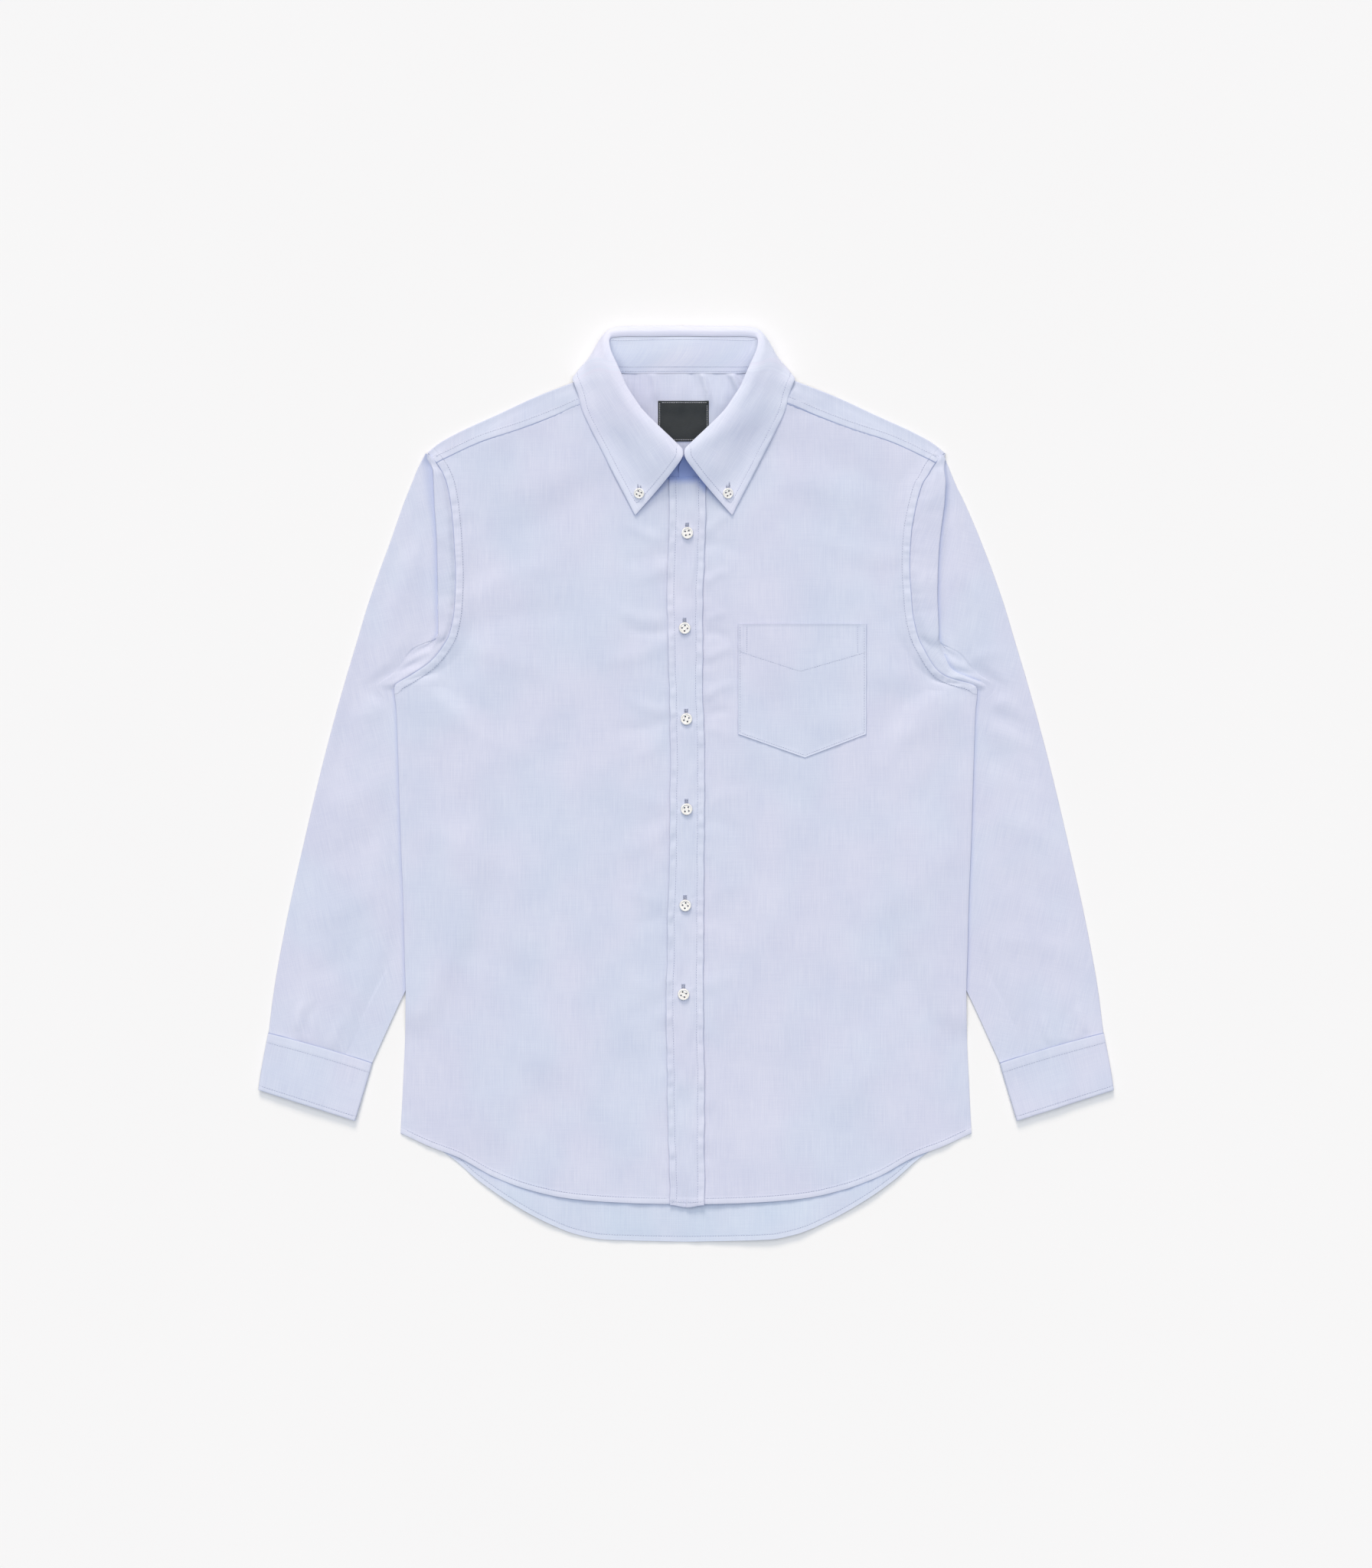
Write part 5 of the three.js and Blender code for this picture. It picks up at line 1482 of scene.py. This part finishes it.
class Stitches:
    """Collects stitches, and dark blobs of painted shade for needle holes, and joins them into one mesh.
    """

    def __init__(self):
        self.vertices = []
        self.faces = []
        self.holes = []

    def add(self, start, end, normal, radius, hole=0.0, lift=0.35):
        """One stitch: a thread that rises out of the cloth and dives back in."""
        start, end, normal = (np.asarray(v, float) for v in (start, end, normal))
        forward = end - start
        length = np.linalg.norm(forward)
        forward = forward / length
        sideways = unit(np.cross(normal, forward))
        base = len(self.vertices)
        rings = [(0.0, 0.25, -0.2), (0.22, 1.0, lift), (0.78, 1.0, lift), (1.0, 0.25, -0.2)]
        for share, size, height in rings:
            middle = start + forward * length * share + normal * radius * height
            for k in range(THREAD_SIDES):
                angle = 2 * math.pi * k / THREAD_SIDES
                ring = math.cos(angle) * sideways + math.sin(angle) * normal
                self.vertices.append(middle + radius * size * ring)
                self.holes.append(hole)
        last = base + THREAD_SIDES * (len(rings) - 1)
        for ring in range(base, last, THREAD_SIDES):
            for k in range(THREAD_SIDES):
                a = ring + k
                b = ring + (k + 1) % THREAD_SIDES
                self.faces.append((a, a + THREAD_SIDES, b + THREAD_SIDES, b))
        self.faces.append(tuple(base + k for k in range(THREAD_SIDES)))
        self.faces.append(tuple(last + k for k in reversed(range(THREAD_SIDES))))

    def run(self, path, normals, pitch=2.5, length=1.8, radius=0.22, seed=1):
        """A line of stitches along a path of points, with a dark blob of painted shade for a needle hole
        after each.
        """
        path = np.asarray(path, float)
        normals = np.broadcast_to(np.asarray(normals, float), path.shape)
        arc = np.concatenate([[0], np.cumsum(np.linalg.norm(np.diff(path, axis=0), axis=1))])
        jitter = np.random.RandomState(seed)

        def spot(s):
            return np.array([np.interp(s, arc, path[:, k]) for k in range(3)])

        place = 0.4
        while place + pitch < arc[-1]:
            up = np.array([np.interp(place, arc, normals[:, k]) for k in range(3)])
            up = unit(up)
            gap = place + (pitch + length) / 2
            self.add(spot(place), spot(place + length), up, radius * jitter.uniform(0.9, 1.1))
            # Painted shade: a small sunken dark blob stands for the needle hole
            hole = spot(gap - NEEDLE_REACH), spot(gap + NEEDLE_REACH)
            self.add(*hole, up, NEEDLE_RADIUS, hole=1.0, lift=-0.45)
            place += pitch * jitter.uniform(0.95, 1.05)

    def over(self, path, height, seed=1, **sizes):
        """A line of stitches on a surface that is a height over x and y."""
        path = np.asarray(path, float)
        arc = np.concatenate([[0], np.cumsum(np.hypot(*np.diff(path, axis=0).T))])
        at = np.arange(0, arc[-1], STITCH_STEP)
        x = np.interp(at, arc, path[:, 0])
        y = np.interp(at, arc, path[:, 1])
        z = height(x, y)
        step = STITCH_STEP / 2
        slope_x = (height(x + step, y) - height(x - step, y)) / (2 * step)
        slope_y = (height(x, y + step) - height(x, y - step)) / (2 * step)
        self.run(stack(x, y, z), stack(-slope_x, -slope_y, 1.0), seed=seed, **sizes)

    def build(self, name, material):
        piece = new_object(name, self.vertices, self.faces, material, sharp=180)
        attribute = piece.data.attributes.new("hole", "FLOAT", "POINT")
        attribute.data.foreach_set("value", np.array(self.holes, np.float32))
        return piece


def offset_path(path, distance):
    """A path moved sideways, to the left of its direction."""
    path = np.asarray(path, float)
    direction = np.gradient(path, axis=0)
    direction /= np.linalg.norm(direction, axis=1, keepdims=True)
    return path + distance * np.stack([-direction[:, 1], direction[:, 0]], axis=1)


def resampled(path, step=4.0):
    path = np.asarray(path, float)
    arc = np.concatenate([[0], np.cumsum(np.hypot(*np.diff(path, axis=0).T))])
    at = np.linspace(0, arc[-1], max(3, int(arc[-1] / step)))
    return np.stack([through(arc, path[:, k:k + 1], at)[:, 0] for k in range(2)], axis=1)


def mirrored(path, side):
    path = np.array(path, float)
    path[:, 0] *= side
    return path


def body_top(x, y):
    return body_z(x, y) + SHELL / 2


def placket_top(x, y):
    return placket_z(x, y) + PLACKET_SHELL / 2


def pocket_top(x, y):
    return pocket_z(x, y) + SHELL / 2


def body_stitches(material):
    s = Stitches()
    hem = [(x, float(along(FRONT_HEM, x)) + FRONT_HEM_STITCH) for x in np.linspace(18.5, 272, 90)]
    armhole = offset_path(resampled(ARMHOLE), FELL_WIDTH)
    yoke_line = [(x, float(along(YOKE_SEAM, x)) + YOKE_STITCH) for x in np.linspace(96, 243, 60)]
    for number, side in enumerate((-1, 1)):
        s.over(mirrored(armhole[:-2], side), body_top, seed=101 + number)
        s.over(mirrored(yoke_line, side), body_top, seed=103 + number)
        s.over(mirrored(hem, side), body_top, seed=105 + number)
    return s.build("body_stitches", material)


def back_hem_stitches(material):
    s = Stitches()
    line = [(x, float(along(BACK_HEM, abs(x))) + BACK_HEM_STITCH) for x in np.linspace(-262, 262, 200)]
    s.over(line, lambda x, y: back_z(x, y) + BACK_SHELL / 2, seed=111)
    return s.build("back_hem_stitches", material)


def placket_stitches(material):
    s = Stitches()
    y = np.linspace(PLACKET_TOP - 3, PLACKET_EDGES[0][0] + PLACKET_END_STITCH, 300)
    right, left = placket_sides(y)
    s.over(np.stack([right + PLACKET_STITCH, y], axis=1), placket_top, seed=121)
    s.over(np.stack([left - PLACKET_STITCH, y], axis=1), placket_top, seed=122)
    x = np.linspace(right[-1] + 1, left[-1] - 1, 20)
    s.over(np.stack([x, np.full(20, y[-1] - 0.5)], axis=1), placket_top, seed=123)
    return s.build("placket_stitches", material)


def pocket_stitches(material):
    s = Stitches()
    inset = POCKET_STITCH
    left, right, top = POCKET["left"], POCKET["right"], POCKET["top"]
    low = POCKET["side"] + 1.4
    around = [
        (left + inset, top - 1), (left + inset, low), (POCKET["point_x"], POCKET["point"] + 2.4),
        (right - inset, low), (right - inset, top - 1),
    ]
    for number, (a, b) in enumerate(zip(around[:-1], around[1:])):
        s.over([a, b], pocket_top, seed=131 + number)
    for number, x in enumerate((left + 8.5, right - 8.5)):
        s.over([(x, top - 1), (x, top - 28)], pocket_top, seed=136 + number, pitch=2.0, length=1.5)
    for number, (a, b) in enumerate(zip(POCKET_BAND[:-1], POCKET_BAND[1:])):
        s.over([a, b], pocket_top, seed=138 + number)
    return s.build("pocket_stitches", material)


def cuff_stitches(side, material):
    s = Stitches()
    for number, down in enumerate((CUFF_STITCH / CUFF_DEPTH, 1 - CUFF_EDGE_STITCH / CUFF_DEPTH)):
        across = np.linspace(0.02, 0.98, 70)
        down = np.full_like(across, down)
        x, y = cuff_point(side, across, down)
        z = cuff_top(side, across, down) + CUFF_SHELL / 2
        s.run(stack(x, y, z), (0, 0, 1), seed=141 + number)
    return s.build(f"cuff_{SIDE_NAMES[side]}_stitches", material)


def contour(points, normals, distance, target):
    """Where a distance that falls along each row crosses a value: points and their normals."""
    found = []
    for row, gap, up in zip(points, distance, normals):
        inside = np.nonzero((gap[:-1] >= target) & (gap[1:] < target))[0]
        if len(inside):
            k = inside[-1]
            t = (gap[k] - target) / max(1e-6, gap[k] - gap[k + 1])
            found.append(np.concatenate([mix(row[k], row[k + 1], t), mix(up[k], up[k + 1], t)]))
        else:
            found.append(np.full(6, np.nan))
    return np.array(found)


def sew(s, line, keep, lift, seed):
    """Stitches along the kept part of a contour."""
    part = line[keep & ~np.isnan(line[:, 0])]
    if len(part) > 3:
        s.run(part[:, :3] + lift * part[:, 3:], part[:, 3:], seed=seed)


def collar_stitches(leaf, stand, material):
    s = Stitches()
    lift = COLLAR_SHELL / 2
    points, outward, rim = leaf
    middle = len(points) // 2
    halves = ((slice(middle, None, -1), 151), (slice(middle, None), 153))
    for part, seed in halves:
        rows, normals, gaps = points[part], outward[part], rim[part]
        edge = contour(rows, normals, gaps, LEAF_STITCH)
        with np.errstate(invalid="ignore"):
            sew(s, edge, (edge[:, 2] > 5.0) & (edge[:, 5] > 0.2), lift, seed)
        front = contour(*(np.swapaxes(grid, 0, 1) for grid in (rows, normals, gaps)), LEAF_STITCH)
        with np.errstate(invalid="ignore"):
            sew(s, front, (np.arange(len(front)) > 18) & (front[:, 5] > 0.1), lift, seed + 1)
    points, outward, run = stand
    for number, height in enumerate((STAND_SEAM_STITCH, STAND_STITCH, STAND_TOP_STITCH)):
        line = contour(points, outward, -run, -height)
        back = (np.abs(line[:, 0] - COLLAR_SHIFT) < 74) & (line[:, 1] > 388)
        sew(s, line, back, lift, 156 + number)
    return s.build("collar_stitches", material)


def label_stitches(material):
    s = Stitches()
    inset = 1.6
    left, right = LABEL["left"] + inset, LABEL["right"] - inset
    low, high = LABEL["bottom"] + inset, LABEL["top"] - inset
    corners = [(left, low), (right, low), (right, high), (left, high), (left, low)]
    for number, (a, b) in enumerate(zip(corners[:-1], corners[1:])):
        s.over([a, b], lambda x, y: label_z(x, y) + SHELL / 2, seed=161 + number, pitch=2.2, radius=0.2)
    return s.build("label_stitches", material)


def buttonhole(s, slit, up, width, seed):
    """Close zigzag stitches down both sides of a slit, told by its two ends, with a bar at each."""
    jitter = np.random.RandomState(seed)
    low, high = (np.asarray(end, float) for end in slit)
    up = unit(up)
    length = np.linalg.norm(high - low)
    along_slit = (high - low) / length
    sideways = np.cross(along_slit, up)
    for rail in (-1, 1):
        for step, place in enumerate(np.arange(0.3, length - 0.3, 0.42)):
            wobble = along_slit * jitter.uniform(-0.06, 0.06)
            inner = low + along_slit * place + sideways * rail * 0.32 + wobble
            reach = width * jitter.uniform(0.42, 0.54)
            outer = low + along_slit * (place + 0.35) + sideways * rail * reach
            # Painted shade: every third rail stitch takes most of the slit's dark colour, the others a
            # little
            dark = 0.9 if step % 3 == 1 else 0.25
            s.add(inner, outer, up, 0.27, hole=dark, lift=0.1 if dark > 0.5 else 0.4)
    for end, inward in ((low, 1), (high, -1)):
        for place in np.linspace(-0.42, 0.42, 6) * width:
            start = end + sideways * place
            s.add(start, start + along_slit * inward * 1.1, up, 0.27, lift=0.5)
    # The middle thread is half painted with the slit's shade
    s.add(low + along_slit * 0.8, high - along_slit * 0.8, up, 0.3, hole=0.45, lift=0.0)


# Holes of a button: their radius and how far out they are, in shares of the button's radius
HOLE_SIZE = 0.15
HOLE_REACH = 0.33
HOLE_WALL = 0.3
BUTTON_SIDES = 48


def button_mesh(name, radius, height, material, hole_wall_shade):
    """Four-hole button: a lathed blank with a rim and a dished face, with holes cut through whose walls
    take a dark painted shade.
    """
    profile = [
        (0.0, 0.0), (0.72, 0.0), (0.92, 0.10), (1.0, 0.34), (1.0, 0.62), (0.965, 0.84), (0.90, 0.96),
        (0.82, 1.0), (0.76, 0.95), (0.72, 0.74), (0.69, 0.68), (0.65, 0.76), (0.40, 0.79), (0.0, 0.77),
    ]
    sides = BUTTON_SIDES
    vertices = [(0, 0, 0)]
    for r, z in profile[1:-1]:
        for k in range(sides):
            a = 2 * math.pi * k / sides
            vertices.append((r * radius * math.cos(a), r * radius * math.sin(a), z * height))
    vertices.append((0, 0, profile[-1][1] * height))
    faces = [(0, 1 + (k + 1) % sides, 1 + k) for k in range(sides)]
    for ring in range(len(profile) - 3):
        for k in range(sides):
            a = 1 + ring * sides + k
            b = 1 + ring * sides + (k + 1) % sides
            faces.append((a, b, b + sides, a + sides))
    last = len(vertices) - 1
    ring = 1 + (len(profile) - 3) * sides
    faces.extend((ring + k, ring + (k + 1) % sides, last) for k in range(sides))
    blank = new_object(name, vertices, faces, material, sharp=40)
    for dx, dy in ((-1, -1), (-1, 1), (1, -1), (1, 1)):
        bpy.ops.mesh.primitive_cylinder_add(
            vertices=20, radius=HOLE_SIZE * radius * MM, depth=3 * height * MM,
            location=(dx * HOLE_REACH * radius * MM, dy * HOLE_REACH * radius * MM, height * MM / 2),
        )
        drill = bpy.context.object
        cut = blank.modifiers.new("hole", "BOOLEAN")
        cut.operation = "DIFFERENCE"
        cut.solver = "EXACT"
        cut.object = drill
        bpy.context.view_layer.objects.active = blank
        bpy.ops.object.modifier_apply(modifier="hole")
        bpy.data.objects.remove(drill)
    # Painted shade: the holes' walls take a dark brown colour
    blank.data.materials.append(hole_wall_shade)
    for face in blank.data.polygons:
        place = face.center / (radius * MM)
        off = math.hypot(abs(place.x) - HOLE_REACH, abs(place.y) - HOLE_REACH)
        if off < HOLE_SIZE * 1.03 and abs(face.normal.z) < HOLE_WALL:
            face.material_index = 1
    blank.data.shade_smooth()
    blank.data.set_sharp_from_angle(angle=math.radians(35))
    return blank


def place_button(mesh, name, spot, normal, turn):
    """A copy of a button's mesh, set on its spot and turned; its place is in the mesh."""
    piece = in_scene(name, mesh.copy())
    rotation = Vector((0, 0, 1)).rotation_difference(Vector(normal)).to_matrix()
    c, s = math.cos(turn), math.sin(turn)
    spin = np.array([[c, -s, 0], [s, c, 0], [0, 0, 1]])
    turned = np.array(rotation) @ spin
    count = len(piece.data.vertices)
    flat = np.empty(count * 3)
    piece.data.vertices.foreach_get("co", flat)
    moved = flat.reshape(-1, 3) @ turned.T + np.asarray(spot) * MM
    piece.data.vertices.foreach_set("co", moved.ravel())
    piece.data.update()
    return piece, turned


def button_thread(s, spot, matrix, radius, height):
    """Two strands that cross the button from hole to hole."""
    reach = HOLE_REACH * radius
    top = 0.80 * height
    up = matrix @ np.array([0, 0, 1.0])
    for side in (-1, 1):
        for drift in (-0.16, 0.16):
            across = side * reach + drift
            ends = [matrix @ np.array([0.5 * end * reach, across, top]) + spot for end in (-1, 1)]
            s.add(*ends, up, 0.2)


def seat_on_leaf(leaf, side):
    """Spot and normal on the leaf where a collar button is sewn."""
    points, outward, _ = leaf
    target = np.array([COLLAR_SHIFT + side * COLLAR_BUTTON_AT[0], COLLAR_BUTTON_AT[1]])
    middle = len(points) // 2
    part = slice(None, middle) if side < 0 else slice(middle, None)
    half, normal = points[part], outward[part]
    gap = np.hypot(half[..., 0] - target[0], half[..., 1] - target[1])
    gap = gap + np.where(normal[..., 2] > 0, 0, FAR)
    i, j = np.unravel_index(np.argmin(gap), gap.shape)
    return np.array([target[0], target[1], half[i, j, 2]]), normal[i, j]


def dress(piece, node, slot, sheet=None, **facts):
    """Put a piece on the body, in place of its node. The slot is not used."""
    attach(piece, "root")
    if node:
        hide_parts(node)


def sheet_area(piece):
    """Area of one face of a shell's cloth in square metres."""
    return sum(polygon.area for polygon in piece.data.polygons) / 2


# What was cut for each node's cloth: width and length in metres
CUTS = {
    "back": (0.563, 0.742), "yoke": (0.500, 0.190), "front_right": (0.295, 0.776),
    "front_left": (0.268, 0.776), "placket": (0.033, 0.694), "collar_leaf": (0.430, 0.075),
    "collar_stand": (0.400, 0.036), "sleeve_right": (0.36, 0.60), "sleeve_left": (0.36, 0.60),
    "cuff_right": (0.208, 0.056), "cuff_left": (0.208, 0.056), "pocket": (0.124, 0.129),
}
LABEL_CUT = (0.049, 0.039)
SLIT_ASIDE = 0.3


def sew_shirt(white_thread):
    """The cloth, dressed, and its stitches; gives the leaf's grid, where the collar buttons go."""
    blue = {name: cotton(f"shirting_{name}", *row) for name, row in COTTONS.items()}
    pale_thread = thread("pale_thread", (0.74, 0.78, 0.88), (0.56, 0.60, 0.74))
    pieces = {
        "front_right": front_panel(-1, blue["front"]), "front_left": front_panel(1, blue["front"]),
        "back": back_panel(blue["back"]), "yoke": yoke(blue["yoke"]),
    }
    for name, make in (("sleeve", sleeve), ("cuff", cuff)):
        for side, side_name in SIDE_NAMES.items():
            pieces[f"{name}_{side_name}"] = make(side, blue[name])
    pieces["collar_leaf"], leaf_grid = collar_leaf(blue["leaf"])
    pieces["collar_stand"], stand_grid = collar_stand(blue["stand"])
    pieces["placket"] = placket(blue["placket"])
    pieces["pocket"] = pocket(blue["pocket"])
    label_piece = label(satin("label_satin"))

    plainly = (body_stitches, back_hem_stitches, placket_stitches, pocket_stitches)
    sewn = [make(pale_thread) for make in plainly]
    sewn.append(collar_stitches(leaf_grid, stand_grid, pale_thread))
    sewn.extend(cuff_stitches(side, pale_thread) for side in SIDE_NAMES)
    label_sewn = label_stitches(white_thread)

    for node, (width, length) in CUTS.items():
        piece = pieces[node]
        dress(piece, node, "shirting", (width, length), area=min(sheet_area(piece), width * length))
    dress(label_piece, "neck_label", "label_weave", LABEL_CUT, rests_on=[pieces["yoke"]])
    for piece in sewn:
        dress(piece, None, "shirting")
    dress(label_sewn, None, "label_weave")
    return leaf_grid


def fasten_placket(blank, holes, threads):
    """Buttonholes and buttons down the placket."""
    for number, (x, y) in enumerate(PLACKET_BUTTONS):
        slit_x = x - SLIT_ASIDE
        ends = np.array([y - BUTTONHOLE_BELOW, y + BUTTONHOLE_ABOVE])
        heights = placket_top(np.full(2, slit_x), ends) + 0.12
        slit = [(slit_x, *end) for end in zip(ends, heights)]
        buttonhole(holes, slit, (0, 0, 1), BUTTONHOLE_WIDTH, 171 + number)
        around = placket_top(x + np.array([-5, 0, 5, 0, 0]), y + np.array([0, 0, 0, -5, 5]))
        spot = np.array([x, y, float(np.max(around)) + BUTTON_LIFT])
        name = f"button_{number + 1}"
        turn = 0.2 + 0.5 * number
        piece, matrix = place_button(blank.data, f"{name}_resin", spot, (0.0, -0.03, 1.0), turn)
        button_thread(threads, spot, matrix, BUTTON_RADIUS, BUTTON_HEIGHT)
        dress(piece, name, "button_resin")


def fasten_collar(blank, holes, threads, leaf_grid):
    """Buttonholes and buttons of the collar's points."""
    for side, side_name in SIDE_NAMES.items():
        seat, up = seat_on_leaf(leaf_grid, side)
        spot = seat + up * (COLLAR_SHELL / 2 + BUTTON_LIFT)
        along_leaf = unit((0.0, 1.0, -up[1] / up[2]))
        middle = seat + up * (COLLAR_SHELL / 2 + 0.15)
        slit = (middle - along_leaf * COLLAR_HOLE_BELOW, middle + along_leaf * COLLAR_HOLE_ABOVE)
        buttonhole(holes, slit, up, COLLAR_HOLE_WIDTH, 181 + side)
        name = f"collar_button_{side_name}"
        piece, matrix = place_button(blank.data, f"{name}_resin", spot, up, 0.5 * side)
        button_thread(threads, spot, matrix, COLLAR_BUTTON_RADIUS, COLLAR_BUTTON_HEIGHT)
        dress(piece, name, "button_resin")


def fasten_shirt(leaf_grid, white_thread):
    """All buttons with their holes and threads."""
    holes = Stitches()
    threads = Stitches()
    # Dark brown painted shade for the walls of the button holes
    hole_wall_shade = flat_tone("button_hole_wall_shade", (0.05, 0.035, 0.028), 0.7, 900.0)
    ivory = resin("button_resin")
    big = button_mesh("button_blank", BUTTON_RADIUS, BUTTON_HEIGHT, ivory, hole_wall_shade)
    small = button_mesh("collar_button_blank", COLLAR_BUTTON_RADIUS, COLLAR_BUTTON_HEIGHT, ivory, hole_wall_shade)
    fasten_placket(big, holes, threads)
    fasten_collar(small, holes, threads, leaf_grid)
    for blank in (big, small):
        bpy.data.objects.remove(blank)
    # The buttonhole thread's dark colour is painted shade of the slit
    hole_thread = thread("hole_thread", (0.70, 0.74, 0.87), (0.48, 0.53, 0.70), BUTTONHOLE_SHADE)
    dress(holes.build("buttonholes", hole_thread), None, "shirting")
    dress(threads.build("button_threads", white_thread), None, "shirting")


def build_shirt():
    white_thread = thread("white_thread", (0.84, 0.84, 0.84), (0.62, 0.61, 0.60))
    leaf_grid = sew_shirt(white_thread)
    fasten_shirt(leaf_grid, white_thread)


PICTURE_HEIGHT_MM = 1515.5
CAMERA_HEIGHT = 5.0
SENSOR = 36.0
FLOOR_REACH = 4.0
FLOOR_Z = -0.0002
SKY = 0.34
SKY_COLOUR = (0.84, 0.985, 1.17)
# Lamps: name, light that falls on the floor, height over the horizon, width, colour
LAMPS = [
    ("key", 0.24, 31.0, 20.0, (1.15, 1.01, 0.84)),
    ("overhead", 0.464, 80.0, 70.0, (1.045, 1.0, 0.955)),
]


def studio_floor():
    """Pale floor under the shirt."""
    mesh = bpy.data.meshes.new("floor")
    square = ((-1, -1), (1, -1), (1, 1), (-1, 1))
    mesh.from_pydata([(x * FLOOR_REACH, y * FLOOR_REACH, FLOOR_Z) for x, y in square], [], [(0, 1, 2, 3)])
    mesh.materials.append(flat_tone("pale_floor", (0.90, 0.90, 0.90), 0.95, 3.0))
    in_scene("floor", mesh)


def studio_light():
    """Soft light from the top of the picture and from overhead, and a pale blue surrounding."""
    world = bpy.data.worlds.new("studio")
    bpy.context.scene.world = world
    world.use_nodes = True
    background = world.node_tree.nodes["Background"]
    background.inputs["Color"].default_value = (*SKY_COLOUR, 1)
    background.inputs["Strength"].default_value = SKY
    for name, share, height, width, colour in LAMPS:
        lamp = bpy.data.lights.new(name, "SUN")
        lamp.energy = share * math.pi / math.sin(math.radians(height))
        lamp.color = colour
        lamp.angle = math.radians(width)
        toward = Vector((-0.12, 1.0, math.tan(math.radians(height))))
        in_scene(name, lamp).rotation_euler = (-toward).to_track_quat("-Z", "Y").to_euler()


def studio_camera():
    """Camera straight above, which takes in what the photograph does."""
    data = bpy.data.cameras.new("camera")
    data.type = "PERSP"
    data.sensor_fit = "VERTICAL"
    data.sensor_height = SENSOR
    data.lens = SENSOR * CAMERA_HEIGHT / (PICTURE_HEIGHT_MM * MM)
    data.clip_end = 50
    camera = in_scene("camera", data)
    camera.location = (0, 0, CAMERA_HEIGHT)
    bpy.context.scene.camera = camera
    bpy.context.scene.view_settings.view_transform = "Standard"


studio_floor()
studio_light()
studio_camera()
build_shirt()
